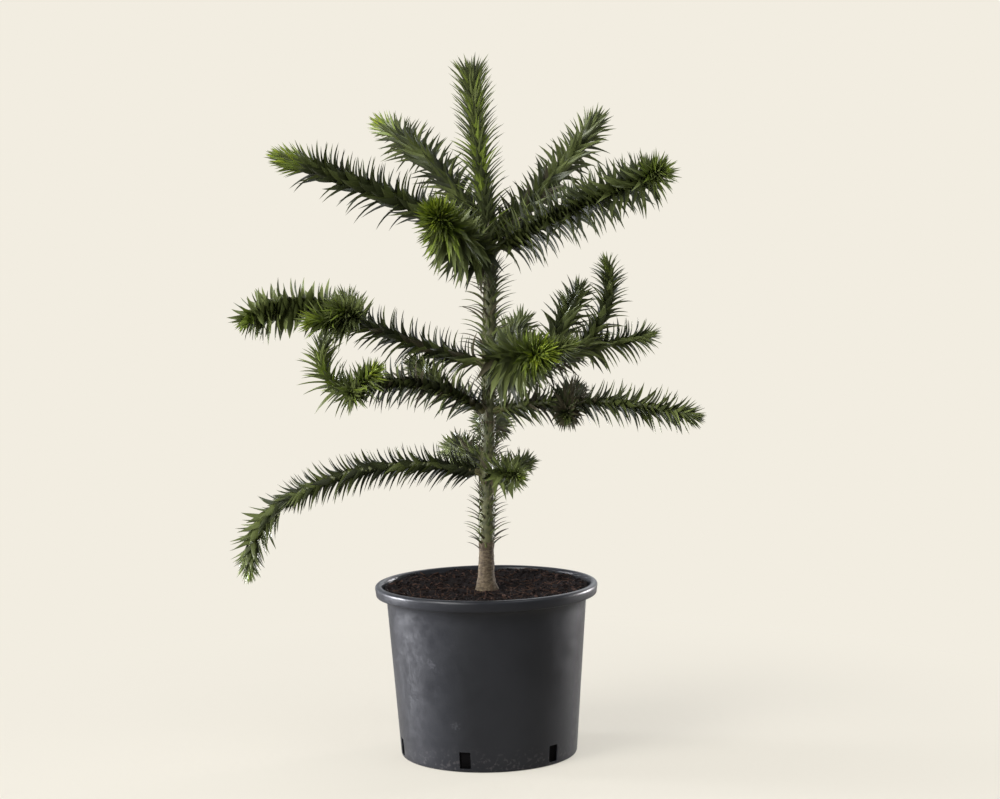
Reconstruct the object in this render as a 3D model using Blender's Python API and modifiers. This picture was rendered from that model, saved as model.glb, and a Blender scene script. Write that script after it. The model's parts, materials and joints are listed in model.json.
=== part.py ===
"""A young monkey puzzle tree in a round nursery pot, in metres, +Z up.

The origin is the centre of the pot's flat underside. +X is to the right as seen from the front, and
+Y is to the back. The trunk rises from the soil to the leader's tip. Short bare boughs stand out from
it in whorls, and each bough carries a branch that is clad all round in stiff pointed leaves.
"""

import math
import random
from collections import namedtuple

import bmesh
import bpy
from mathutils import Vector
from mathutils.bvhtree import BVHTree

# Joints between separate solids, and the merging of points that should be one
CLEARANCE = 0.0003  # between two solids that touch on the real plant
BUTT_GAP = 0.00038  # between the flat end of a bough and the branch that grows on from it
WELD = 0.000001
SCREW_WELD = 0.00001
CRISP = 40  # an edge that turns more than this, in degrees, is shaded sharp

# Pot
RIM_RADIUS = 0.115
POT_HEIGHT = 0.1777
BASE_RADIUS = 0.0913
WALL_TOP_RADIUS = 0.1035
WALL = 0.0018
FLOOR = 0.0025
LIP_HEIGHT = 0.0115
LIP_WALL = 0.0027
LIP_DRAFT = 0.0009  # how far the lip's outer face draws in from its top to its foot
LIP_ROUND = 0.0032
LIP_FACES = 3  # round each corner of the lip
BASE_ROUND = 0.0025
POT_STEPS = 40
SLOT_COUNT = 6
SLOT_WIDTH = 0.0115
SLOT_HEIGHT = 0.0172
SLOT_RISE = 0.0038
SLOT_DEPTH = 0.012
SLOT_AZIMUTH = -105  # the slot just left of the front

# Soil
SOIL_HEIGHT = 0.1700
SOIL_DISH = 0.0042  # how much higher the soil lies at the wall than at the trunk
SOIL_RINGS = 7
SOIL_STEPS = 32
SOIL_LEVEL = 1.1  # it is level round the trunk, out to this many radii of the trunk's foot
# Soft lumps: each is a wave with its steepness in x and in y, and its height
SOIL_LUMPS = ((90, 40, 0.0011), (-60, 110, 0.0009), (150, -75, 0.0006))

# Trunk: distances up from its flat foot, in metres, against degrees of climb and against radius
TRUNK_LENGTH = 0.5230
TRUNK_RISE = ((0, 90), (0.006, 90), (0.016, 88.2), (0.315, 88.2), (0.375, 95.5), (TRUNK_LENGTH, 94.3))
TRUNK_RADII = (
    (0, 0.0125),
    (0.006, 0.0102),
    (0.016, 0.0085),
    (0.040, 0.0076),
    (0.180, 0.0068),
    (0.350, 0.0053),
    (0.450, 0.0046),
    (TRUNK_LENGTH, 0.0022),
)
FLARE_RINGS = 4  # the first of those radii, which shape the flare at the foot
TRUNK_STATION = 0.025
TRUNK_SIDES = 10
CLEAR_FOOT = 0.004  # how far a clearance cutter runs past the foot of what it clears

# Leafy stretches of the trunk: from and to, as distances up the trunk, and the length of a full leaf.
# The leaves stand on a thin green skin that wraps the bark with a small gap.
SKIN = 0.0017
SKIN_SIDES = 8
LEADER_CAP = 0.0030
TRUNK_FOLIAGE = {
    "foliage_leader": (0.385, TRUNK_LENGTH + LEADER_CAP, 0.030),
    "foliage_upper_stem": (0.251, 0.337, 0.027),
    "foliage_middle_stem": (0.194, 0.210, 0.024),
    "foliage_lower_stem": (0.132, 0.163, 0.023),
    "foliage_foot": (0.040, 0.104, 0.021),
}

# Branches. Each starts up the trunk (metres above the pot's underside) or at a share of its parent's
# length. Azimuths are 0 to the right, 90 to the back; rises are the climb in degrees. Both turn evenly
# from the first value to the last. Length is the woody axis, and leaf is the length of a full leaf.
Branch = namedtuple("Branch", "parent start azimuth rise length leaf")
BRANCHES = {
    "top_left": Branch("trunk", 0.524, (188, 187), (32, 16), 0.233, 0.034),
    "top_back_left": Branch("trunk", 0.531, (133, 130), (52, 20), 0.219, 0.034),
    "top_front": Branch("trunk", 0.513, (245, 261), (16, 14), 0.185, 0.034),
    "top_back_right": Branch("trunk", 0.527, (49, 43), (30, 45), 0.222, 0.034),
    "top_right": Branch("trunk", 0.519, (-11, -57), (30, 10), 0.225, 0.034),
    "upper_left": Branch("trunk", 0.404, (181, 182), (15, 25), 0.156, 0.029),
    "upper_left_tip": Branch("upper_left", 1, (182, 222), (25, -29), 0.114, 0.031),
    "upper_front": Branch("trunk", 0.408, (290, 291), (8, 2), 0.166, 0.034),
    "upper_right": Branch("trunk", 0.386, (36, 37), (17, 8), 0.125, 0.029),
    "upper_right_tip": Branch("upper_right", 1, (37, -8), (8, 11), 0.086, 0.027),
    "upper_right_rear": Branch("upper_right", 0.62, (52, 49), (51, 48), 0.098, 0.030),
    "upper_right_riser": Branch("upper_right", 0.88, (15, 11), (27, 106), 0.113, 0.028),
    "upper_back": Branch("trunk", 0.410, (66, 69), (14, 26), 0.104, 0.029),
    "middle_left": Branch("trunk", 0.352, (213, 207), (40, -13), 0.155, 0.027),
    "middle_left_tip": Branch("middle_left", 1, (207, 177), (-13, 125), 0.078, 0.028),
    "middle_right": Branch("trunk", 0.355, (-23, -29), (13, -13), 0.231, 0.025),
    "middle_back": Branch("trunk", 0.342, (88, 86), (4, -14), 0.140, 0.026),
    "low_left": Branch("trunk", 0.290, (173, 170), (16, -31), 0.225, 0.024),
    "low_left_tip": Branch("low_left", 1, (170, 182), (-31, -96), 0.092, 0.027),
    "low_right": Branch("trunk", 0.285, (45, 56), (17, 1), 0.074, 0.022),
    "low_back": Branch("trunk", 0.294, (108, 102), (16, -12), 0.165, 0.024),
    "low_front": Branch("trunk", 0.288, (-72, -64), (18, -8), 0.090, 0.023),
}
# Side twigs, each fused to the branch that it grows from
TWIGS = {
    "upper_left": (Branch("upper_left", 0.90, (220, 216), (7, -3), 0.065, 0.029),
                   Branch("upper_left", 0.88, (119, 118), (24, 35), 0.052, 0.028),
                   Branch("upper_left", 0.90, (239, 239), (26, 14), 0.052, 0.028)),
    "upper_front": (Branch("upper_front", 0.80, (330, 319), (8, 20), 0.047, 0.026),),
    "middle_left": (Branch("middle_left", 0.40, (129, 129), (35, 13), 0.058, 0.026),),
    "middle_left_tip": (Branch("middle_left_tip", 0.12, (316, 322), (27, 36), 0.043, 0.025),
                        Branch("middle_left_tip", 0.09, (266, 266), (-2, -5), 0.034, 0.026)),
    "middle_right": (Branch("middle_right", 0.38, (271, 266), (-10, -14), 0.055, 0.024),
                     Branch("middle_right", 0.36, (69, 70), (16, 6), 0.052, 0.024)),
}

# Boughs and branch stems
BOUGH_LENGTH = 0.024
BOUGH_RADII = ((0, 0.0044), (BOUGH_LENGTH, 0.0040))
BOUGH_SIDES = 8
STEM_RADIUS = 0.0042
STEM_TIP_RADIUS = 0.0030
TIP_TAPER = 0.010
TIP_RADIUS = 0.0011
STEM_STATION = 0.022
STEM_SIDES = 6
END_STATION = 0.002
COURSE_STEP = 0.002

# Leaves
TIP_SPACING = 0.0036  # along the stem from one leaf to the next, at the shoot's tip
OLD_SPACING = 0.0066  # and on old wood
CROWDED = 0.024  # how far back from the tip the close spacing goes
LEAF_TURN = 137.5  # degrees round the stem, between one leaf and the next
LEAF_SIDES = 3
SIDE_REACH = math.sin(math.tau / LEAF_SIDES)  # how far out the side corners of a leaf's section lie
LEAF_WIDTH = 0.38  # of its length
LEAF_KEEL = 0.05  # how deep the keel under it is, of its length
LEAF_SHOULDER = 0.22  # how far out along a leaf it is widest
LEAF_HOOK = 0.14  # how far a leaf's tip bends toward the end of its shoot, of its length
LEAF_DROOP = 0.16  # and downwards, on the underside
SHOOT_ANGLES = ((0, 22), (1, 68))  # between a leaf and its stem, from closed at the tip to fully open
LEADER_ANGLES = ((0, 27), (1, 46))
OPENING = 0.046  # how far back from the tip a leaf is fully open
UPPER_LEAN = 11  # degrees more on the upper side of a branch, and fewer on the lower
LOWER_LONGER = 0.14  # how much longer a leaf is on the lower side, and shorter on the upper
STRAY_TURN = 9  # degrees either way that a leaf strays round the stem
STRAY_ANGLE = 4  # and in its angle to it
STRAY_LENGTH = 0.07  # and in its length, as a share
GROWTH = ((0, 0.46), (0.030, 1))  # a leaf's length by how far back from the tip, of a full leaf
FIRST_LEAF = 0.006  # from the foot of a stem
LAST_LEAF = 0.0025  # from its tip
LEAF_CLEAR = 0.0005  # kept between a leaf and any other solid
STEEPEST_SINK = 2  # a slanting leaf's root is sunk by at most this many stem radii

# A stretch of stem that carries leaves, and the solid made for it
Limb = namedtuple("Limb", "piece course first last radius_at leaf")


def linear(color):
    """The colour, given as 0 to 255 on screen, as the shader takes it."""
    return tuple((part / 255) ** 2.2 for part in color) + (1.0,)


def finish(name, color, roughness):
    made = bpy.data.materials.new(name)
    made.use_nodes = True
    shader = made.node_tree.nodes["Principled BSDF"]
    shader.inputs["Base Color"].default_value = linear(color)
    shader.inputs["Roughness"].default_value = roughness
    made.diffuse_color = linear(color)
    return made


def blend(stations, s):
    """The value at distance s, read in straight lines between (distance, value) pairs."""
    low = stations[0]
    for high in stations[1:]:
        if s <= high[0]:
            share = (s - low[0]) / (high[0] - low[0])
            return low[1] + (high[1] - low[1]) * max(share, 0)
        low = high
    return low[1]


class Course:
    """The centre line of a stem, whose heading turns along its length."""

    def __init__(self, start, azimuths, rises, length):
        self.azimuths = azimuths
        self.rises = rises
        self.length = length
        self.step = length / math.ceil(length / COURSE_STEP)
        self.places = [Vector(start)]
        for index in range(round(length / self.step)):
            self.places.append(self.places[-1] + self.heading((index + 0.5) * self.step) * self.step)

    def angles(self, s):
        return math.radians(blend(self.azimuths, s)), math.radians(blend(self.rises, s))

    def heading(self, s):
        azimuth, rise = self.angles(s)
        level = math.cos(rise)
        return Vector((level * math.cos(azimuth), level * math.sin(azimuth), math.sin(rise)))

    def side(self, s):
        """A level direction square to the heading."""
        azimuth, _ = self.angles(s)
        return Vector((-math.sin(azimuth), math.cos(azimuth), 0))

    def point(self, s):
        """The centre at distance s. It runs straight on past both ends."""
        if s < 0:
            return self.places[0] + self.heading(0) * s
        if s > self.length:
            return self.places[-1] + self.heading(self.length) * (s - self.length)
        index = min(int(s / self.step), len(self.places) - 2)
        return self.places[index].lerp(self.places[index + 1], s / self.step - index)


def stations_between(first, last, spacing):
    """Distances for a tube's rings, with a short ring step at each end so that flat ends lie true."""
    inner_first = first + END_STATION
    inner_last = last - END_STATION
    count = max(1, round((inner_last - inner_first) / spacing))
    inner = [inner_first + (inner_last - inner_first) * index / count for index in range(count + 1)]
    return [first] + inner + [last]


def clear_scene():
    for item in list(bpy.data.objects):
        bpy.data.objects.remove(item)


def new_collection(name):
    made = bpy.data.collections.new(name)
    bpy.context.scene.collection.children.link(made)
    return made


def set_aside(cutter):
    cutter.hide_render = True
    cutter.display_type = "WIRE"


def mesh_object(name, mesh, collection, material=None):
    made = bpy.data.objects.new(name, mesh)
    collection.objects.link(made)
    if material:
        mesh.materials.clear()
        mesh.materials.append(material)
    return made


def tube(name, course, rings, radius_at, sides, collection, material=None):
    """A closed round limb along a course, from a bevelled curve. radius_at gives its radius at s."""
    curve = bpy.data.curves.new(name, "CURVE")
    curve.dimensions = "3D"
    curve.bevel_depth = 1.0
    curve.bevel_resolution = sides // 2 - 2
    curve.use_fill_caps = True
    line = curve.splines.new("POLY")
    line.points.add(len(rings) - 1)
    for point, s in zip(line.points, rings):
        point.co = (*course.point(s), 1)
        point.radius = radius_at(s)
    bevelled = bpy.data.objects.new(name, curve)
    collection.objects.link(bevelled)
    bpy.context.view_layer.update()
    graph = bpy.context.evaluated_depsgraph_get()
    mesh = bpy.data.meshes.new_from_object(bevelled.evaluated_get(graph))
    bpy.data.objects.remove(bevelled)
    shape = bmesh.new()
    shape.from_mesh(mesh)
    bmesh.ops.remove_doubles(shape, verts=shape.verts, dist=WELD)
    bmesh.ops.recalc_face_normals(shape, faces=shape.faces)
    shape.to_mesh(mesh)
    shape.free()
    return mesh_object(name, mesh, collection, material)


def apply_modifiers(part):
    """Fixes the part's modifiers in its mesh."""
    bpy.context.view_layer.update()
    graph = bpy.context.evaluated_depsgraph_get()
    mesh = bpy.data.meshes.new_from_object(part.evaluated_get(graph))
    part.modifiers.clear()
    part.data = mesh


def keep_largest_shell(part):
    """Drops loose scraps, and fills hollows that a union has sealed."""
    shape = bmesh.new()
    shape.from_mesh(part.data)
    bmesh.ops.remove_doubles(shape, verts=shape.verts, dist=WELD)
    left = set(shape.faces)
    shells = []
    while left:
        front = [left.pop()]
        shell = set(front)
        while front:
            face = front.pop()
            for edge in face.edges:
                for other in edge.link_faces:
                    if other in left:
                        left.remove(other)
                        shell.add(other)
                        front.append(other)
        shells.append(shell)
    largest = max(shells, key=len)
    scraps = [face for shell in shells if shell is not largest for face in shell]
    bmesh.ops.delete(shape, geom=scraps, context="FACES")
    shape.to_mesh(part.data)
    shape.free()


def boolean(part, operation, other):
    """Joins or cuts the part with an object, or with every object of a collection, and fixes it."""
    change = part.modifiers.new(operation.lower(), "BOOLEAN")
    change.operation = operation
    change.solver = "EXACT"
    if isinstance(other, bpy.types.Collection):
        change.operand_type = "COLLECTION"
        change.collection = other
    else:
        change.object = other
    apply_modifiers(part)
    keep_largest_shell(part)


def soften(part):
    part.data.shade_smooth()
    part.data.set_sharp_from_angle(angle=math.radians(CRISP))


def surface(points, faces):
    """A surface for clearance tests, with its box as centre and half diagonal."""
    low = Vector(tuple(min(point[axis] for point in points) for axis in range(3)))
    high = Vector(tuple(max(point[axis] for point in points) for axis in range(3)))
    return BVHTree.FromPolygons(points, faces), (low + high) / 2, (high - low).length / 2


def surface_of(part):
    points = [vertex.co.copy() for vertex in part.data.vertices]
    faces = [tuple(face.vertices) for face in part.data.polygons]
    return surface(points, faces)


def meets(first, second):
    """Whether two surfaces cross."""
    if (first[1] - second[1]).length > first[2] + second[2]:
        return False
    return bool(first[0].overlap(second[0]))


def turned(name, outline, steps, collection, material):
    """A solid of revolution about Z from an outline of (radius, height) that runs down its outer side."""
    mesh = bpy.data.meshes.new(name)
    shape = bmesh.new()
    corners = [shape.verts.new((radius, 0, height)) for radius, height in outline]
    for first, second in zip(corners, corners[1:]):
        shape.edges.new((first, second))
    shape.to_mesh(mesh)
    shape.free()
    made = mesh_object(name, mesh, collection, material)
    spin = made.modifiers.new("turn", "SCREW")
    spin.steps = steps
    spin.render_steps = steps
    spin.use_merge_vertices = True
    spin.merge_threshold = SCREW_WELD
    return made


def quarter(centre, radius, first, last, count):
    """Points on an arc in the (radius, height) plane, between two angles in degrees."""
    angles = [math.radians(first + (last - first) * index / count) for index in range(count + 1)]
    return [(centre[0] + radius * math.cos(a), centre[1] + radius * math.sin(a)) for a in angles]


def wall_radius(height):
    """The outer radius of the pot's tapering wall."""
    share = height / (POT_HEIGHT - LIP_HEIGHT)
    return BASE_RADIUS + (WALL_TOP_RADIUS - BASE_RADIUS) * share


def cut_slot(pot, index, cutters):
    """One drainage slot, low in the pot's wall."""
    bpy.ops.mesh.primitive_cube_add(size=1)
    slot = bpy.context.object
    slot.name = f"slot_cutter_{index + 1}"
    angle = math.radians(SLOT_AZIMUTH + 360 / SLOT_COUNT * index)
    slot.scale = (SLOT_DEPTH, SLOT_WIDTH, SLOT_HEIGHT)
    slot.location = (
        BASE_RADIUS * math.cos(angle),
        BASE_RADIUS * math.sin(angle),
        SLOT_RISE + SLOT_HEIGHT / 2,
    )
    slot.rotation_euler = (0, 0, angle)
    for owner in list(slot.users_collection):
        owner.objects.unlink(slot)
    cutters.objects.link(slot)
    set_aside(slot)
    cut = pot.modifiers.new(f"slot {index + 1}", "BOOLEAN")
    cut.operation = "DIFFERENCE"
    cut.object = slot


def build_pot(parts, cutters):
    """A tapering wall with a turned-down lip, a flat floor, and a ring of drainage slots."""
    lip_foot = POT_HEIGHT - LIP_HEIGHT
    lip_roof = POT_HEIGHT - LIP_ROUND
    mouth = WALL_TOP_RADIUS - WALL
    outline = [(0, FLOOR), (wall_radius(FLOOR) - WALL, FLOOR), (mouth, lip_foot)]
    outline += quarter((mouth + LIP_ROUND, lip_roof), LIP_ROUND, 180, 90, LIP_FACES)
    outline += quarter((RIM_RADIUS - LIP_ROUND, lip_roof), LIP_ROUND, 90, 0, LIP_FACES)
    outline += [(RIM_RADIUS - LIP_DRAFT, lip_foot), (RIM_RADIUS - LIP_WALL, lip_foot)]
    outline += [(RIM_RADIUS - LIP_WALL, lip_roof), (WALL_TOP_RADIUS + LIP_DRAFT, lip_roof)]
    outline += [(WALL_TOP_RADIUS, lip_foot), (wall_radius(BASE_ROUND), BASE_ROUND)]
    outline += [(BASE_RADIUS - BASE_ROUND, 0), (0, 0)]
    pot = turned("pot", outline, POT_STEPS, parts, finish("pot_plastic", (59, 60, 65), 0.42))
    for index in range(SLOT_COUNT):
        cut_slot(pot, index, cutters)
    soften(pot)


def soil_height(x, y, radius):
    """The soil's surface: a shallow dish with soft lumps, level round the trunk's foot."""
    height = SOIL_HEIGHT + SOIL_DISH * (radius / WALL_TOP_RADIUS) ** 2
    away = min(1, max(0, radius / TRUNK_RADII[0][1] - SOIL_LEVEL))
    for across, deep, lump in SOIL_LUMPS:
        height += away * lump * math.sin(across * x + deep * y)
    return height


def build_soil(parts):
    """The potting soil, clear of the pot's floor and wall all round."""
    foot = FLOOR + CLEARANCE
    # A pot of flat facets lies inside its true circle by this much.
    facet = math.cos(math.pi / POT_STEPS)
    low_radius = (wall_radius(foot) - WALL) * facet - CLEARANCE
    top_radius = (wall_radius(SOIL_HEIGHT) - WALL) * facet - 2 * CLEARANCE
    outline = [(top_radius * index / SOIL_RINGS, SOIL_HEIGHT) for index in range(SOIL_RINGS + 1)]
    outline += [(low_radius, foot), (0, foot)]
    soil = turned("soil", outline, SOIL_STEPS, parts, finish("peat", (45, 38, 37), 0.95))
    apply_modifiers(soil)
    for vertex in soil.data.vertices:
        if vertex.co.z > SOIL_HEIGHT / 2:
            radius = math.hypot(vertex.co.x, vertex.co.y)
            vertex.co.z = soil_height(vertex.co.x, vertex.co.y, radius)
    soften(soil)


def trunk_course():
    foot = soil_height(0, 0, 0) + CLEARANCE
    return Course((0, 0, foot), ((0, 0),), TRUNK_RISE, TRUNK_LENGTH)


def trunk_radius(s):
    return blend(TRUNK_RADII, s)


def trunk_rings():
    low = [s for s, _ in TRUNK_RADII[:FLARE_RINGS]]
    above = TRUNK_LENGTH - low[-1]
    count = round(above / TRUNK_STATION)
    return low + [low[-1] + above * (index + 1) / count for index in range(count)]


def build_trunk(line, parts, bark):
    trunk = tube("trunk", line, trunk_rings(), trunk_radius, TRUNK_SIDES, parts, bark)
    soften(trunk)
    return trunk


def trunk_clearance(line, cutters):
    """The room that the trunk needs in whatever stands against it."""
    rings = [-CLEAR_FOOT] + trunk_rings()[1:-1] + [TRUNK_LENGTH + CLEARANCE]
    room = tube("trunk_room", line, rings, lambda s: trunk_radius(s) + CLEARANCE, TRUNK_SIDES, cutters)
    set_aside(room)
    return room


def course_of(branch, courses, trunk_line):
    """A branch's centre line, from its parent's."""
    if branch.parent == "trunk":
        # The trunk is so nearly upright that distance along it and height agree within a millimetre.
        start = trunk_line.point(branch.start - trunk_line.places[0].z)
    else:
        parent = courses[branch.parent]
        start = parent.point(parent.length * branch.start)
    ends = (0, branch.length)
    return Course(start, tuple(zip(ends, branch.azimuth)), tuple(zip(ends, branch.rise)), branch.length)


def stem_radius(length):
    """A branch stem's radius: a slow taper, then a quick one at the tip."""
    stations = (
        (0, STEM_RADIUS),
        (max(length - TIP_TAPER, length / 2), STEM_TIP_RADIUS),
        (length, TIP_RADIUS),
    )
    return lambda s: blend(stations, s)


def build_bough(name, course, trunk_room, parts, bark):
    """The bare limb between the trunk and a branch, coped round the trunk."""
    rings = [0, END_STATION, BOUGH_LENGTH - END_STATION, BOUGH_LENGTH]
    bough = tube("bough_" + name, course, rings, lambda s: blend(BOUGH_RADII, s), BOUGH_SIDES, parts, bark)
    boolean(bough, "DIFFERENCE", trunk_room)
    soften(bough)
    return bough


def cope_to_parent(name, stem, parent, cutters):
    """Hollows a side shoot's foot to the round stem that carries it."""
    rings = stations_between(-END_STATION, parent.length + CLEARANCE, STEM_STATION)
    room = tube("room_for_" + name, parent, rings, lambda s: STEM_RADIUS + CLEARANCE, STEM_SIDES, cutters)
    set_aside(room)
    boolean(stem, "DIFFERENCE", room)


def build_branch(name, courses, trunk_line, parts, cutters, twigs):
    """A branch's stem and its side twigs, with no leaves yet."""
    branch = BRANCHES[name]
    course = courses[name]
    runs_on = any(other.parent == name and other.start == 1 for other in BRANCHES.values())
    radius_at = (lambda s: STEM_RADIUS) if runs_on else stem_radius(branch.length)
    if branch.parent == "trunk":
        first = BOUGH_LENGTH + BUTT_GAP
    else:
        first = BUTT_GAP if branch.start == 1 else 0
    rings = stations_between(first, branch.length, STEM_STATION)
    green = finish("foliage_" + name, (60, 70, 34), 0.5)
    stem = tube("branch_" + name, course, rings, radius_at, STEM_SIDES, parts, green)
    if branch.parent != "trunk" and branch.start < 1:
        cope_to_parent(name, stem, courses[branch.parent], cutters)
    limbs = [Limb(stem, course, first, branch.length, radius_at, branch.leaf)]
    for twig in TWIGS.get(name, ()):
        line = course_of(twig, courses, trunk_line)
        radius = stem_radius(twig.length)
        rings = stations_between(0, twig.length, STEM_STATION)
        piece = tube(stem.name, line, rings, radius, STEM_SIDES, twigs)
        limbs.append(Limb(piece, line, 0, twig.length, radius, twig.leaf))
    return limbs


def skin_radius(s):
    return trunk_radius(s) + SKIN


def build_sleeve(name, trunk_line, parts):
    """The green skin on a leafy stretch of the trunk, solid until it is bored for the trunk."""
    first, last, leaf = TRUNK_FOLIAGE[name]
    rings = stations_between(first, last, STEM_STATION)
    skin = tube(name, trunk_line, rings, skin_radius, SKIN_SIDES, parts, finish(name, (78, 90, 44), 0.5))
    return [Limb(skin, trunk_line, first, last, skin_radius, leaf)]


def blade(root, out, face, across, length, sunk, hook, swell=0.0):
    """One leaf: a slim three-sided double pyramid, widest near its foot, with a keel and a bent tip."""
    half_width = length * LEAF_WIDTH / 2 + swell
    keel = length * LEAF_KEEL + swell
    shoulder = root + out * (sunk + length * LEAF_SHOULDER)
    tip = root + out * (sunk + length + swell) + hook
    shape = bmesh.new()
    bmesh.ops.create_uvsphere(shape, u_segments=LEAF_SIDES, v_segments=2, radius=1)
    for corner in shape.verts:
        x, y, z = corner.co
        if z > 0.5:
            corner.co = tip
        elif z < -0.5:
            corner.co = root
        else:
            corner.co = shoulder + across * (y / SIDE_REACH * half_width) - face * (x * keel)
    bmesh.ops.recalc_face_normals(shape, faces=shape.faces)
    return shape


def leaf_distances(first, last):
    """Distances along a stem at which leaves sit, close together at the tip."""
    s = last - LAST_LEAF
    while s > first:
        yield s
        s -= TIP_SPACING if last - s < CROWDED else OLD_SPACING


def leaf_seats(limb, angles, chance):
    """For each leaf along a limb: root, direction, face, width axis, length, depth sunk and hook."""
    for index, s in enumerate(leaf_distances(limb.first + FIRST_LEAF, limb.last)):
        left = limb.last - s
        turn = math.radians(index * LEAF_TURN + chance.uniform(-STRAY_TURN, STRAY_TURN))
        along = limb.course.heading(s)
        side = limb.course.side(s)
        away = side * math.cos(turn) + along.cross(side) * math.sin(turn)
        opened = min(1, left / OPENING)
        opened = opened * (2 - opened)
        angle = blend(angles, opened) + UPPER_LEAN * away.z * opened
        angle = math.radians(angle + chance.uniform(-STRAY_ANGLE, STRAY_ANGLE))
        out = along * math.cos(angle) + away * math.sin(angle)
        face = away * math.cos(angle) - along * math.sin(angle)
        length = limb.leaf * blend(GROWTH, left) * (1 - LOWER_LONGER * away.z)
        length *= 1 + chance.uniform(-STRAY_LENGTH, STRAY_LENGTH)
        sunk = limb.radius_at(s) / max(math.sin(angle), 1 / STEEPEST_SINK)
        hook = along * (length * LEAF_HOOK) + Vector((0, 0, min(0, away.z) * length * LEAF_DROOP))
        yield limb.course.point(s), out, -face, along.cross(away), length, sunk, hook


def grow_leaves(name, limb, blocks, holder):
    """Leaves along one limb, as objects in the holder. One that would touch another solid is skipped."""
    kept = []
    angles = LEADER_ANGLES if name == "foliage_leader" else SHOOT_ANGLES
    chance = random.Random(f"{name} {limb.first + FIRST_LEAF:.3f} {limb.last:.3f}")
    for seat in leaf_seats(limb, angles, chance):
        room = blade(*seat, swell=LEAF_CLEAR)
        corners = [corner.co.copy() for corner in room.verts]
        faces = [tuple(corner.index for corner in face.verts) for face in room.faces]
        room.free()
        whole = surface(corners, faces)
        if any(meets(whole, block) for owner, block in blocks if owner != name):
            continue
        shape = blade(*seat)
        mesh = bpy.data.meshes.new(name + "_leaf")
        shape.to_mesh(mesh)
        shape.free()
        mesh_object(name + "_leaf", mesh, holder)
        kept.append((name, whole))
    return kept


def clothe(name, limbs, blocks, holder):
    """Grows the leaves of one mass, and joins them and its twigs to its stem in one union."""
    kept = []
    for limb in limbs:
        kept += grow_leaves(name, limb, blocks, holder)
        if limb is not limbs[0]:
            holder.objects.link(limb.piece)
    boolean(limbs[0].piece, "UNION", holder)
    for piece in list(holder.objects):
        bpy.data.objects.remove(piece)
    return kept


def build():
    clear_scene()
    parts = new_collection("monkey_puzzle_tree")
    cutters = new_collection("cutters")
    twigs = new_collection("twigs_to_join")
    holder = new_collection("leaves_to_join")

    build_pot(parts, cutters)
    build_soil(parts)
    bark = finish("bark", (84, 74, 56), 0.85)
    trunk_line = trunk_course()
    trunk = build_trunk(trunk_line, parts, bark)
    trunk_room = trunk_clearance(trunk_line, cutters)

    # Every limb comes before any leaf, so that the leaves keep clear of them all.
    courses = {}
    masses = {}
    blocks = [("trunk", surface_of(trunk))]
    for name, branch in BRANCHES.items():
        courses[name] = course_of(branch, courses, trunk_line)
        if branch.parent == "trunk":
            bough = build_bough(name, courses[name], trunk_room, parts, bark)
            blocks.append((bough.name, surface_of(bough)))
        masses["branch_" + name] = build_branch(name, courses, trunk_line, parts, cutters, twigs)
    for name in TRUNK_FOLIAGE:
        masses[name] = build_sleeve(name, trunk_line, parts)
    for name, limbs in masses.items():
        blocks += [(name, surface_of(limb.piece)) for limb in limbs]

    for name, limbs in masses.items():
        if name in TRUNK_FOLIAGE:
            others = [block for block in blocks if block[0] != "trunk"]
            blocks += clothe(name, limbs, others, holder)
            boolean(limbs[0].piece, "DIFFERENCE", trunk_room)
        else:
            blocks += clothe(name, limbs, blocks, holder)
    for emptied in (twigs, holder):
        bpy.data.collections.remove(emptied)


build()
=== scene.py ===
# %% [markdown]
# # A young monkey puzzle tree in its nursery pot
#
# The plant is a young conifer: one upright leader, whorls of side branches, and stiff pointed leaves that
# clothe every shoot in spirals. It stands in a round black nursery pot filled with potting soil.
#
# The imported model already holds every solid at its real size. This lesson dresses it. Each plain mass of
# foliage gives way to finer leaves that grow by the same rule, and the pot, the soil, the trunk and the
# boughs get their real surfaces. All lengths are in metres, +X is to the right and +Y is to the back.

import json
import math
import random
from collections import defaultdict, namedtuple

import bmesh
import bpy
import numpy as np
from mathutils import Matrix, Vector, noise
from mathutils.kdtree import KDTree

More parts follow.
